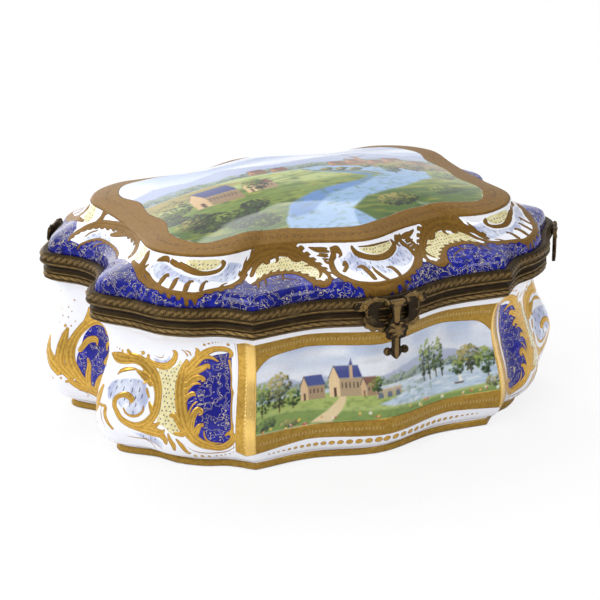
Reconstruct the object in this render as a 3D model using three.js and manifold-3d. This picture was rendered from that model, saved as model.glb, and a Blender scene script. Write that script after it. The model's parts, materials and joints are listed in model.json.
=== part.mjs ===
// A shaped porcelain casket with gilt metal mounts, in millimetres, +Z up.
// The origin lies on the table under the middle of the box, and the front faces -Y.
import * as THREE from 'three';
import { mergeVertices } from 'three/addons/utils/BufferGeometryUtils.js';
import Module from 'manifold-3d';

const wasm = await Module();
wasm.setup();

// Gaps between neighbours
const seatGap = 0.3;
const runningGap = 0.3;
const rivetGap = 0.1;

// Overall size of the porcelain, without its collars
const halfWidth = 167;
const halfDepth = 132.5;

// A plan point, as distances in from the side and from the front or back
const inset = (fromSide, fromFront) => [halfWidth - fromSide, halfDepth - fromFront];

// Plan of the box where porcelain meets metal, as one quarter of it
const girdle = {
  crest: [0, halfDepth],
  frontHollow: [48, halfDepth - 12.5],
  arris: inset(76, 11),
  lobeHollow: inset(60, 26.5),
  lobeShoulder: inset(43, 33.5),
  lobeCorner: inset(28, 45.5),
  flankHollow: inset(18, 62.5),
  sideTip: inset(0, 90.5),
  bayShoulder: [halfWidth - 16, 18],
  bay: [halfWidth - 21, 0],
};

// Plan of the foot, which is drawn in under the bulge
const footPlan = {
  crest: [0, halfDepth - 15],
  frontHollow: [45, halfDepth - 26],
  arris: inset(83.5, 24.5),
  lobeHollow: inset(71, 37.5),
  lobeShoulder: inset(57, 44.5),
  lobeCorner: inset(45, 55.5),
  flankHollow: inset(37, 69.5),
  sideTip: inset(18, 90.5),
  bayShoulder: [halfWidth - 33, 18],
  bay: [halfWidth - 37, 0],
};

// Plan of the raised cartouche on the lid
const cartouche = {
  crest: [0, halfDepth - 36.5],
  frontHollow: [36, halfDepth - 49.5],
  arris: inset(101, 56),
  lobeHollow: inset(90, 52.5),
  lobeShoulder: inset(74, 49.5),
  lobeCorner: inset(56, 56),
  flankHollow: inset(45, 65.5),
  sideTip: inset(37.5, 80.5),
  bayShoulder: [halfWidth - 39.5, 25],
  bay: [halfWidth - 40.5, 0],
};

// Heights
const baseMountFoot = 93.6;
const partingHeight = 103.5;
const lidMountTop = 113.2;
const bandHeight = 139.5;
const apexHeight = 156.5;

// Heights of the body's profile: foot band, cove, bulge, waist, and the flare below the collar
const footEdge = 1.2;
const footGroove = 4;
const footBandTop = 5.6;
const coveFoot = 8;
const coveMiddle = 11.5;
const coveTop = 17;
const bulgeHeight = 26;
const bulgeShoulder = 38;
const waistFoot = 52;
const waistHeight = 66;
const waistSpan = 11;
const flareDrop = 7.3;

// How far the front flank beside each side lobe swells out, and at what height
const flankSwell = 9;
const swellHeight = 48;
const swellSpan = 22;
const flankReach = 26;

// Porcelain walls
const wallDraw = 0.4;
const bodyFloor = 12;
const footRecess = 5;
const rimWall = 5;
const lidWall = 6;

// Metal collars, as distances out from the girdle line
const baseMountProud = 1;
const lidMountProud = 3;
const mountSheet = 1.4;
const porcelainInset = 2.5;
const webReach = 7.6;
const guideSheet = 1.2;
const guideRise = 3.6;

// Butt hinge at the middle of the back
const hingeLength = 46;
const knuckleCount = 5;
const knuckleRadius = 2.9;
const hingePinRadius = 1.4;
const hingeStandOff = 3.6;
const leafHeight = 6.4;
const leafSheet = 1.5;
const leafClearance = 3.1;
const leafRivetInset = 2.3;

// Rivets that hold the leaves and the openwork
const rivetRadius = 1;
const rivetHead = 1.8;
const rivetHeadHeight = 0.7;

// Openwork escutcheons: one under the clasp, and one on each of two opposite flanks
const openworkTop = 114.6;
const openworkFoot = 92.4;
const openworkSheet = 2.2;
const leafTip = 26;
const legOuter = 18.5;
const windowHalfWidth = 10.6;
const windowTop = 108.4;
const windowFoot = 98;
const windowRound = 2.4;
const dropFoot = 87;
const flankLegOuter = 11.4;
const flankWindowHalf = 5.6;
const flankLeafTip = 14;
const flankPlace = 0.6;

// Hasp with its pin, and the stud that it snaps on
const haspPivotHeight = 111.4;
const haspEyeRadius = 2.2;
const haspPinRadius = 0.9;
const haspSheet = 2.2;
const haspTopHalf = 5.2;
const haspWaistHalf = 2.8;
const haspBossHeight = 92.5;
const haspBossRadius = 5.4;
const stemHalf = 2.9;
const thumbHeight = 78.8;
const thumbBall = 2.8;
const thumbSpread = 6;
const thumbDrop = 6;
const lugSheet = 2.4;
const studHeight = 100;
const studRadius = 1.7;

// Smoothness
const frontSteps = 12;
const sideSteps = 28;
const rivetSides = 6;
const roundSides = 12;
const curveSteps = 3;

// Finishes
const porcelainWhite = new THREE.MeshStandardMaterial({ color: 0xf2f1f4, roughness: 0.12, metalness: 0 });
const porcelainBlue = new THREE.MeshStandardMaterial({ color: 0x22249a, roughness: 0.12, metalness: 0 });
const giltMetal = new THREE.MeshStandardMaterial({ color: 0x6b5a36, roughness: 0.45, metalness: 1 });
const giltBright = new THREE.MeshStandardMaterial({ color: 0x8a7444, roughness: 0.35, metalness: 1 });
const brassWire = new THREE.MeshStandardMaterial({ color: 0xa0884c, roughness: 0.3, metalness: 1 });

const mirrorX = ([x, y]) => [-x, y];
const mirrorY = ([x, y]) => [x, -y];

// A smooth run through points given by hand, with evenly spaced parameters
function smoothRun(points, steps) {
  const curve = new THREE.CatmullRomCurve3(
    points.map(([x, y]) => new THREE.Vector3(x, y, 0)), false, 'centripetal',
  );
  return curve.getPoints(steps).slice(0, steps).map((p) => new THREE.Vector2(p.x, p.y));
}

// The whole closed outline of a plan, counter-clockwise from the left front arris
function closedOutline(plan) {
  const front = [plan.arris, plan.frontHollow].map(mirrorX).concat([plan.crest, plan.frontHollow, plan.arris]);
  const flank = [plan.arris, plan.lobeHollow, plan.lobeShoulder, plan.lobeCorner, plan.flankHollow,
    plan.sideTip, plan.bayShoulder];
  const right = flank.map(mirrorY).concat([plan.bay], flank.slice().reverse());
  const quarterTurn = smoothRun(front.map(mirrorY), frontSteps).concat(smoothRun(right, sideSteps));
  const halfTurn = quarterTurn.map((p) => new THREE.Vector2(-p.x, -p.y));
  return quarterTurn.concat(halfTurn);
}

// Unit vectors that point out of an outline, square to it
function outwardNormals(outline) {
  const count = outline.length;
  return outline.map((p, i) => {
    const before = p.clone().sub(outline[(i + count - 1) % count]).normalize();
    const after = outline[(i + 1) % count].clone().sub(p).normalize();
    const along = before.clone().add(after).normalize();
    const mitre = 1 / Math.max(0.6, along.dot(after));
    return new THREE.Vector2(along.y, -along.x).multiplyScalar(mitre);
  });
}

const girdleLine = closedOutline(girdle);
const girdleNormals = outwardNormals(girdleLine);
const footLine = closedOutline(footPlan);
const cartoucheLine = closedOutline(cartouche);

// Where the flanks swell: full at the middle of each front or back flank, and nothing elsewhere
const flankLine = girdleLine.map((p) => {
  const middle = new THREE.Vector2(...girdle.flankHollow).lerp(new THREE.Vector2(...girdle.sideTip), 0.5);
  const away = new THREE.Vector2(Math.abs(p.x), Math.abs(p.y)).distanceTo(middle);
  return Math.max(0, 1 - (away / flankReach) ** 2) ** 2;
});

// A ring at one height: the girdle, pushed out square to itself and drawn towards another plan
function ring(height, pushOut, target = footLine, share = 0, swell = 0) {
  return girdleLine.map((p, i) => {
    const q = p.clone().lerp(target[i], share);
    q.addScaledVector(girdleNormals[i], pushOut + swell * flankLine[i]);
    return new THREE.Vector3(q.x, q.y, height);
  });
}

// Skins a stack of rings. With two cap heights the ends are closed by fans to the middle,
// and without them the last ring joins the first.
function skin(rings, firstCapHeight, lastCapHeight) {
  const count = rings[0].length;
  const positions = rings.flatMap((points) => points.flatMap((p) => [p.x, p.y, p.z]));
  const capped = firstCapHeight !== undefined;
  const faces = [];
  const last = capped ? rings.length - 1 : rings.length;
  for (let k = 0; k < last; k += 1) {
    const low = k * count;
    const high = ((k + 1) % rings.length) * count;
    for (let i = 0; i < count; i += 1) {
      const j = (i + 1) % count;
      faces.push(low + i, low + j, high + j, low + i, high + j, high + i);
    }
  }
  if (capped) {
    const firstMiddle = positions.length / 3;
    positions.push(0, 0, firstCapHeight, 0, 0, lastCapHeight);
    const top = (rings.length - 1) * count;
    for (let i = 0; i < count; i += 1) {
      const j = (i + 1) % count;
      faces.push(firstMiddle, j, i, firstMiddle + 1, top + i, top + j);
    }
  }
  const geometry = new THREE.BufferGeometry();
  geometry.setAttribute('position', new THREE.Float32BufferAttribute(positions, 3));
  geometry.setIndex(faces);
  return geometry;
}

function toSolid(geometry) {
  const bare = geometry.clone();
  bare.deleteAttribute('normal');
  bare.deleteAttribute('uv');
  const welded = mergeVertices(bare, 1e-4);
  return new wasm.Manifold(new wasm.Mesh({
    numProp: 3,
    vertProperties: new Float32Array(welded.attributes.position.array),
    triVerts: new Uint32Array(welded.index.array),
  }));
}

function toGeometry(solid) {
  const mesh = solid.getMesh();
  const geometry = new THREE.BufferGeometry();
  geometry.setAttribute('position', new THREE.Float32BufferAttribute(mesh.vertProperties, 3));
  geometry.setIndex(new THREE.Uint32BufferAttribute(mesh.triVerts, 1));
  return geometry;
}

function unite(parts) {
  return parts.reduce((sum, part) => sum.add(part));
}

// A round bar between two points
function bar(start, end, radius, sides = roundSides) {
  const from = new THREE.Vector3(...start);
  const to = new THREE.Vector3(...end);
  const along = to.clone().sub(from);
  const geometry = new THREE.CylinderGeometry(radius, radius, along.length(), sides);
  geometry.applyQuaternion(new THREE.Quaternion().setFromUnitVectors(
    new THREE.Vector3(0, 1, 0), along.clone().normalize(),
  ));
  const middle = from.clone().add(to).multiplyScalar(0.5);
  return toSolid(geometry.translate(middle.x, middle.y, middle.z));
}

function block(low, high) {
  const size = high.map((value, axis) => value - low[axis]);
  const geometry = new THREE.BoxGeometry(...size);
  return toSolid(geometry.translate(...low.map((value, axis) => value + size[axis] / 2)));
}

// Porcelain body: a hollow bowl that flares to its rim, with a waist, a bulge and a drawn-in foot
function porcelainBody() {
  const neck = baseMountFoot - seatGap;
  const outerProfile = [
    [0, 0.86], [footEdge, 0.83], [footGroove, 0.86], [footBandTop, 0.9], [coveFoot, 0.56],
    [coveMiddle, 0.32], [coveTop, 0.17], [bulgeHeight, 0.11], [bulgeShoulder, 0.22], [waistFoot, 0.47],
    [waistHeight, 0.65], [waistHeight + waistSpan, 0.61], [neck - flareDrop, 0.4], [neck, 0.03],
  ];
  const flare = (height) => -porcelainInset * (height / neck) ** 6;
  const outer = outerProfile.map(([height, share]) => {
    const swell = flankSwell * Math.exp(-(((height - swellHeight) / swellSpan) ** 2));
    return ring(height, flare(height), footLine, share, swell);
  });
  const lipTop = partingHeight - seatGap / 2 - mountSheet - seatGap;
  const lip = [ring(lipTop, -porcelainInset), ring(lipTop, -porcelainInset - rimWall)];
  const innerProfile = [
    [neck - flareDrop + 2, 0.36], [waistHeight + waistSpan + 1, 0.6], [waistHeight - 2, 0.64],
    [waistFoot - 6, 0.4], [bulgeHeight + 2, 0.2], [coveTop + 2, 0.34],
  ];
  const inner = innerProfile.map(([height, share]) => ring(height, 0, footLine, share + wallDraw));
  const floorEdge = ring(bodyFloor, 0, footLine, 0.8 + wallDraw);
  const underside = [ring(footRecess, 0, footLine, 1.3), ring(0, 0, footLine, 1.2)];
  return skin(underside.concat(outer, lip, inner, [floorEdge]), footRecess, bodyFloor);
}

// One ring of the dome: the cartouche at its edge, and nearer an oval towards the middle
function domeRing(share, height) {
  const ovalness = Math.min(1, (1 - share) * 2);
  return cartoucheLine.map((p) => {
    const turn = Math.atan2(p.y / cartouche.crest[1], p.x / cartouche.bay[0]);
    const oval = new THREE.Vector2(cartouche.bay[0] * Math.cos(turn), cartouche.crest[1] * Math.sin(turn));
    const q = p.clone().lerp(oval, ovalness).multiplyScalar(share);
    return new THREE.Vector3(q.x, q.y, height);
  });
}

// Porcelain lid: a rounded edge, a coved skirt that rises to a gilt band, and a low dome
function porcelainLid() {
  const edgeFoot = partingHeight + seatGap / 2 + mountSheet + seatGap;
  const skirtRise = bandHeight - lidMountTop;
  const domeRise = apexHeight - bandHeight;
  const skirtProfile = [[0, 0.02], [0.03, 0.16], [0.09, 0.27], [0.3, 0.38], [0.6, 0.52], [0.84, 0.73], [1, 1]];
  const domeProfile = [[0.92, 0.15], [0.8, 0.36], [0.6, 0.66], [0.32, 0.92]];
  const shell = (drop, inset) => skirtProfile.map(([share, rise]) => ring(
    lidMountTop + skirtRise * rise - drop, -(porcelainInset + inset) * (1 - share) ** 2, cartoucheLine, share,
  )).concat(domeProfile.map(([share, rise]) => domeRing(share, bandHeight + domeRise * rise - drop)));
  const outer = [ring(edgeFoot, -porcelainInset)].concat(shell(0, 0));
  const rebate = [edgeFoot, partingHeight + guideRise + 1].map((height) => ring(height, -porcelainInset - rimWall));
  const inner = rebate.concat(shell(lidWall, rimWall).slice(3));
  return skin(inner.reverse().concat(outer), apexHeight - lidWall, apexHeight);
}

// Cast collar round the rim of the body: ribbed face, web over the porcelain's edge, raised guide
function baseCollar() {
  const top = partingHeight - seatGap / 2;
  const inside = -porcelainInset + seatGap;
  const guide = -webReach - seatGap;
  const profile = [
    [top - mountSheet, inside], [baseMountFoot, inside], [baseMountFoot, inside + 0.9],
    [baseMountFoot + 1.4, baseMountProud - 0.5], [baseMountFoot + 3.4, baseMountProud],
    [baseMountFoot + 5.4, baseMountProud - 0.8], [baseMountFoot + 7.6, baseMountProud],
    [top, -1.2], [top, guide], [top + guideRise, guide], [top + guideRise, guide - guideSheet],
    [top - mountSheet, guide - guideSheet],
  ];
  return skin(profile.map(([height, pushOut]) => ring(height, pushOut)));
}

// Cast collar round the edge of the lid, standing a little prouder than the one below
function lidCollar() {
  const foot = partingHeight + seatGap / 2;
  const inside = -porcelainInset + seatGap;
  const profile = [
    [foot + mountSheet, inside], [foot + mountSheet, -webReach], [foot, -webReach], [foot, -0.6],
    [foot + 1.6, lidMountProud - 0.5], [foot + 3.4, lidMountProud], [foot + 5.4, lidMountProud - 0.8],
    [foot + 7.4, lidMountProud], [lidMountTop, 0.6], [lidMountTop - 0.2, inside],
  ];
  return skin(profile.map(([height, pushOut]) => ring(height, pushOut)));
}

// Depth of a collar's face from the middle plane, at a place beside the crest of the front or back
function collarFace(x, proud) {
  const face = girdleLine.slice(0, frontSteps + 1)
    .map((p, i) => p.clone().addScaledVector(girdleNormals[i], proud));
  const next = face.findIndex((p) => p.x > x);
  const [before, after] = [face[next - 1], face[next]];
  return -THREE.MathUtils.mapLinear(x, before.x, after.x, before.y, after.y);
}

// Butt hinge
const hingeY = halfDepth + lidMountProud + hingeStandOff;
const knuckleLength = hingeLength / knuckleCount;
const hingeRivets = [-0.36, 0, 0.36].map((share) => share * hingeLength);

// A sheet that stands against a collar at the back of the box, between two curves over x
function sheet(halfLength, low, high, backOf, faceOf) {
  const stations = 10;
  const positions = [];
  for (let k = 0; k <= stations; k += 1) {
    const x = halfLength * (2 * k / stations - 1);
    const [back, face] = [backOf(x), faceOf(x)];
    positions.push(x, back, low, x, face, low, x, face, high, x, back, high);
  }
  const end = stations * 4;
  const faces = [0, 2, 1, 0, 3, 2, end, end + 1, end + 2, end, end + 2, end + 3];
  for (let k = 0; k < stations; k += 1) {
    for (let i = 0; i < 4; i += 1) {
      const a = k * 4 + i;
      const b = k * 4 + ((i + 1) % 4);
      faces.push(a, b, a + 4, b, b + 4, a + 4);
    }
  }
  const plate = new THREE.BufferGeometry();
  plate.setAttribute('position', new THREE.Float32BufferAttribute(positions, 3));
  plate.setIndex(faces);
  return toSolid(plate);
}

// The rivets sit near the edge of each leaf that is away from the knuckles
function leafRivetHeight(upper) {
  const reach = leafClearance + leafHeight - leafRivetInset;
  return partingHeight + (upper ? reach : -reach);
}

// One leaf of the hinge: its plate, its share of the knuckles, and holes for the pin and rivets
function hingeLeaf(upper) {
  const proud = upper ? lidMountProud : baseMountProud;
  const low = upper ? partingHeight + leafClearance : partingHeight - leafClearance - leafHeight;
  const outerY = halfDepth + proud + seatGap + leafSheet;
  let leaf = sheet(
    hingeLength / 2, low, low + leafHeight, (x) => collarFace(x, proud) + seatGap, () => outerY,
  );
  for (let k = upper ? 1 : 0; k < knuckleCount; k += 2) {
    const from = -hingeLength / 2 + k * knuckleLength + (k === 0 ? 0 : runningGap / 2);
    const to = -hingeLength / 2 + (k + 1) * knuckleLength - (k === knuckleCount - 1 ? 0 : runningGap / 2);
    const neckLow = upper ? partingHeight + 0.5 : low + leafHeight * 0.7;
    const neckHigh = upper ? low + leafHeight * 0.3 : partingHeight - 0.5;
    leaf = leaf
      .add(bar([from, hingeY, partingHeight], [to, hingeY, partingHeight], knuckleRadius))
      .add(block([from, outerY - leafSheet / 2, neckLow], [to, hingeY, neckHigh]));
  }
  const reach = hingeLength;
  leaf = leaf.subtract(bar(
    [-reach, hingeY, partingHeight], [reach, hingeY, partingHeight], hingePinRadius + runningGap,
  ));
  const rivetHeight = leafRivetHeight(upper);
  return hingeRivets.reduce((sum, x) => sum.subtract(
    bar([x, 0, rivetHeight], [x, hingeY * 2, rivetHeight], rivetRadius + rivetGap, 8),
  ), leaf);
}

function hingePin() {
  const end = hingeLength / 2 + runningGap;
  const shaft = bar([-end, hingeY, partingHeight], [end, hingeY, partingHeight], hingePinRadius);
  const heads = [-1, 1].map((side) => bar(
    [side * end, hingeY, partingHeight], [side * (end + 1.2), hingeY, partingHeight], hingePinRadius + 0.8,
  ));
  return toGeometry(unite([shaft, ...heads]));
}

// A rivet along its own Z: a shank below zero and a low head above it
function rivet(shankLength) {
  const profile = [[0, -shankLength], [rivetRadius, -shankLength], [rivetRadius, rivetGap], [rivetHead, rivetGap],
    [rivetHead * 0.7, rivetHeadHeight + rivetGap], [0, rivetHeadHeight * 1.3 + rivetGap]];
  const geometry = new THREE.LatheGeometry(profile.map(([r, z]) => new THREE.Vector2(r, z)), rivetSides);
  return geometry.rotateX(Math.PI / 2);
}

// Openwork escutcheon
// Its leafy outline, scalloped from the bottom middle up one leg to the top, with one window
function openworkShape({ outer, windowHalf, tip, drop }) {
  const lobes = [
    [[outer * 0.27, drop + 1], [outer * 0.33, openworkFoot - 1]],
    [[outer * 0.54, openworkFoot - 3], [outer * 0.6, openworkFoot + 1]],
    [[outer * 0.84, openworkFoot - 2], [outer * 0.9, openworkFoot + 1.6]],
    [[outer + 3, openworkFoot + 2], [outer, openworkFoot + 5.6]],
    [[outer + 3.4, openworkFoot + 8], [outer, openworkFoot + 11]],
    [[outer + 1, openworkFoot + 13], [outer + 0.4, openworkFoot + 14]],
    [[tip, openworkFoot + 12.6], [tip, openworkFoot + 16.6]],
    [[tip - 2, openworkTop - 1], [outer + 0.6, openworkTop - 2.2]],
    [[outer - 1, openworkTop + 1.6], [outer * 0.76, openworkTop - 1]],
    [[outer * 0.62, openworkTop + 1.6], [outer * 0.43, openworkTop]],
  ];
  const half = new THREE.Path();
  half.moveTo(0, drop);
  lobes.forEach(([control, end]) => half.quadraticCurveTo(...control, ...end));
  const right = half.getPoints(curveSteps).slice(1);
  const left = right.map((p) => new THREE.Vector2(-p.x, p.y)).reverse();
  const shape = new THREE.Shape([new THREE.Vector2(0, drop), ...right, ...left]);
  const window = new THREE.Path();
  const [w, top, foot, round] = [windowHalf, windowTop, windowFoot, windowRound];
  window.moveTo(-w, foot + round);
  window.lineTo(-w, top - round);
  window.quadraticCurveTo(-w, top, -w + round, top);
  window.lineTo(w - round, top);
  window.quadraticCurveTo(w, top, w, top - round);
  window.lineTo(w, foot + round);
  window.quadraticCurveTo(w, foot, w - round, foot);
  window.lineTo(-w + round, foot);
  window.quadraticCurveTo(-w, foot, -w, foot + round);
  shape.holes.push(window);
  return shape;
}

// The openwork extruded towards -Y, from y = 0 to a depth
function openworkPlate(shape, depth) {
  return toSolid(new THREE.ExtrudeGeometry(shape, { depth, bevelEnabled: false }).rotateX(Math.PI / 2));
}

const openworkRivetHeight = openworkFoot + 17.2;
const claspRivetX = legOuter + 0.8;
const flankRivetX = (flankWindowHalf + flankLegOuter) / 2;

function drillOpenwork(solid, x) {
  return [-x, x].reduce((sum, place) => sum.subtract(bar(
    [place, -halfDepth * 2, openworkRivetHeight], [place, halfDepth, openworkRivetHeight],
    rivetRadius + rivetGap, 8,
  )), solid);
}

// Clasp
const openworkFace = (x) => collarFace(x, lidMountProud) + seatGap + openworkSheet;
const haspBackY = -openworkFace(0) - runningGap;
const haspPivotY = haspBackY - haspEyeRadius;

function claspEscutcheon() {
  const curved = sheet(
    leafTip * 1.1, dropFoot - 1, openworkTop * 1.1, (x) => openworkFace(x) - openworkSheet, openworkFace,
  ).rotate([0, 0, 180]);
  const shape = openworkShape({ outer: legOuter, windowHalf: windowHalfWidth, tip: leafTip, drop: dropFoot });
  const plate = openworkPlate(shape, halfDepth * 2).intersect(curved);
  const inner = haspTopHalf + runningGap;
  const lugs = [-1, 1].map((side) => {
    const near = side * inner;
    const far = side * (inner + lugSheet);
    const [low, high] = [Math.min(near, far), Math.max(near, far)];
    const boss = bar([low, haspPivotY, haspPivotHeight], [high, haspPivotY, haspPivotHeight], haspEyeRadius);
    const root = block(
      [low, haspPivotY, haspPivotHeight - haspEyeRadius],
      [high, openworkSheet / 2 - openworkFace(inner + lugSheet), haspPivotHeight + haspEyeRadius],
    );
    return boss.add(root);
  });
  const pinHole = bar(
    [-legOuter, haspPivotY, haspPivotHeight], [legOuter, haspPivotY, haspPivotHeight],
    haspPinRadius + seatGap / 2, 10,
  );
  return toGeometry(drillOpenwork(unite([plate, ...lugs]), claspRivetX).subtract(pinHole));
}

// The hasp: an eye, a trumpet tongue, a leafy boss and a trefoil to lift it by
function hasp() {
  const thumbTip = thumbHeight - thumbDrop;
  const half = new THREE.Path();
  half.moveTo(0, thumbTip);
  half.quadraticCurveTo(stemHalf, thumbTip + 1.4, thumbSpread - thumbBall / 2, thumbHeight);
  half.quadraticCurveTo(stemHalf, thumbHeight + 1.4, stemHalf, thumbHeight + thumbBall);
  half.lineTo(stemHalf, haspBossHeight - 6);
  half.quadraticCurveTo(8, haspBossHeight - 6, 7, haspBossHeight - 2);
  half.quadraticCurveTo(10, haspBossHeight + 1, 6, haspBossHeight + 3.4);
  half.quadraticCurveTo(5, haspBossHeight + 7, haspWaistHalf, haspBossHeight + 9);
  half.quadraticCurveTo(haspWaistHalf, haspPivotHeight - 5, haspTopHalf, haspPivotHeight);
  const right = half.getPoints(curveSteps).slice(1);
  const left = right.map((p) => new THREE.Vector2(-p.x, p.y)).reverse();
  const plate = new THREE.ExtrudeGeometry(
    new THREE.Shape([new THREE.Vector2(0, thumbTip), ...right, ...left]),
    { depth: haspSheet, bevelEnabled: false },
  ).rotateX(Math.PI / 2).translate(0, haspBackY, 0);
  const eye = bar(
    [-haspTopHalf, haspPivotY, haspPivotHeight], [haspTopHalf, haspPivotY, haspPivotHeight], haspEyeRadius,
  );
  const middleY = haspBackY - haspSheet / 2;
  const balls = [-1, 1].map((side) => toSolid(
    new THREE.SphereGeometry(thumbBall, 10, 8).translate(side * thumbSpread, middleY, thumbHeight),
  ));
  const boss = toSolid(
    new THREE.SphereGeometry(haspBossRadius, 12, 8).scale(1, 0.5, 0.9)
      .translate(0, haspBackY - haspSheet, haspBossHeight),
  ).subtract(block(
    [-haspBossRadius * 2, haspBackY - haspSheet / 2, 0], [haspBossRadius * 2, halfDepth, apexHeight],
  ));
  const pinHole = bar(
    [-legOuter, haspPivotY, haspPivotHeight], [legOuter, haspPivotY, haspPivotHeight],
    haspPinRadius + runningGap, 10,
  );
  return toGeometry(unite([toSolid(plate), eye, ...balls, boss]).subtract(pinHole));
}

function haspPin() {
  const end = haspTopHalf + runningGap + lugSheet + 0.4;
  return toGeometry(bar([-end, haspPivotY, haspPivotHeight], [end, haspPivotY, haspPivotHeight], haspPinRadius, 10));
}

// Round stud on the front of the lower collar, which stops just short of the back of the hasp
function catchStud() {
  const length = -(halfDepth + baseMountProud + seatGap) - haspBackY - runningGap;
  const profile = [[0, 0], [studRadius + 0.9, 0], [studRadius + 0.9, 1], [studRadius, 1],
    [studRadius, length - 0.8], [studRadius * 0.6, length], [0, length]];
  return new THREE.LatheGeometry(profile.map(([r, y]) => new THREE.Vector2(r, y)), roundSides)
    .rotateX(Math.PI)
    .translate(0, -(halfDepth + baseMountProud + seatGap), studHeight);
}

// Where a flank escutcheon lies flat against the lid collar, square to a chord of the girdle
function flankSeat(place, from, to) {
  const along = to.clone().sub(from).normalize();
  const normal = new THREE.Vector2(along.y, -along.x);
  const near = girdleLine.filter((p) => p.distanceTo(place) < flankLeafTip * 2);
  const reach = Math.max(...near.map((p) => p.dot(normal))) + lidMountProud + seatGap;
  return {
    position: normal.clone().multiplyScalar(reach).addScaledVector(along, along.dot(place)),
    turn: Math.atan2(normal.y, normal.x),
  };
}

// The right one sits on the front flank near the side lobe, the left one on the corner lobe behind
const front = ([x, y]) => new THREE.Vector2(x, -y);
const back = ([x, y]) => new THREE.Vector2(-x, y);
const flankSeats = {
  right: flankSeat(
    front(girdle.lobeCorner).lerp(front(girdle.sideTip), flankPlace),
    front(girdle.lobeCorner), front(girdle.sideTip),
  ),
  left: flankSeat(back(girdle.lobeCorner), back(girdle.lobeShoulder), back(girdle.flankHollow)),
};

// Assembly
const group = new THREE.Group();

function piece(name, geometry, material, parent = group) {
  const mesh = new THREE.Mesh(geometry, material);
  mesh.name = name;
  parent.add(mesh);
  return mesh;
}

piece('porcelain_body', porcelainBody(), porcelainWhite);
piece('porcelain_lid', porcelainLid(), porcelainBlue);
piece('base_collar', baseCollar(), giltMetal);
piece('lid_collar', lidCollar(), giltMetal);

piece('hinge_base_leaf', toGeometry(hingeLeaf(false)), giltMetal);
piece('hinge_lid_leaf', toGeometry(hingeLeaf(true)), giltMetal);
piece('hinge_pin', hingePin(), brassWire);
[false, true].forEach((upper) => {
  const proud = upper ? lidMountProud : baseMountProud;
  const height = leafRivetHeight(upper);
  const faceY = halfDepth + proud + seatGap + leafSheet;
  hingeRivets.forEach((x, index) => {
    const shank = faceY - collarFace(x, proud) - seatGap - rivetGap;
    const mesh = piece(`hinge_${upper ? 'lid' : 'base'}_rivet_${index + 1}`, rivet(shank), brassWire);
    mesh.rotation.x = -Math.PI / 2;
    mesh.position.set(x, faceY, height);
  });
});

piece('clasp_escutcheon', claspEscutcheon(), giltBright);
piece('clasp_hasp', hasp(), giltBright);
piece('clasp_pin', haspPin(), brassWire);
piece('catch_stud', catchStud(), brassWire);
[-1, 1].forEach((side) => {
  const mesh = piece(`clasp_rivet_${side < 0 ? 'left' : 'right'}`, rivet(openworkSheet - rivetGap), brassWire);
  mesh.rotation.x = Math.PI / 2;
  mesh.position.set(side * claspRivetX, -openworkFace(claspRivetX - rivetHead), openworkRivetHeight);
});

const flankShape = openworkShape({
  outer: flankLegOuter, windowHalf: flankWindowHalf, tip: flankLeafTip, drop: openworkFoot - 1.4,
});
Object.entries(flankSeats).forEach(([name, { position, turn }]) => {
  const corner = new THREE.Group();
  corner.position.set(position.x, position.y, 0);
  corner.rotation.z = turn + Math.PI / 2;
  group.add(corner);
  const plate = drillOpenwork(openworkPlate(flankShape, openworkSheet), flankRivetX);
  piece(`flank_escutcheon_${name}`, toGeometry(plate), giltBright, corner);
  ['a', 'b'].forEach((end, index) => {
    const mesh = piece(`flank_rivet_${name}_${end}`, rivet(openworkSheet - rivetGap), brassWire, corner);
    mesh.rotation.x = Math.PI / 2;
    mesh.position.set(flankRivetX * (index * 2 - 1), -openworkSheet, openworkRivetHeight);
  });
});

// The origin stands under the middle of the whole piece, hinge and clasp included
const middle = new THREE.Box3().setFromObject(group).getCenter(new THREE.Vector3());
group.position.set(-middle.x, -middle.y, 0);

export default group;
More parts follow.
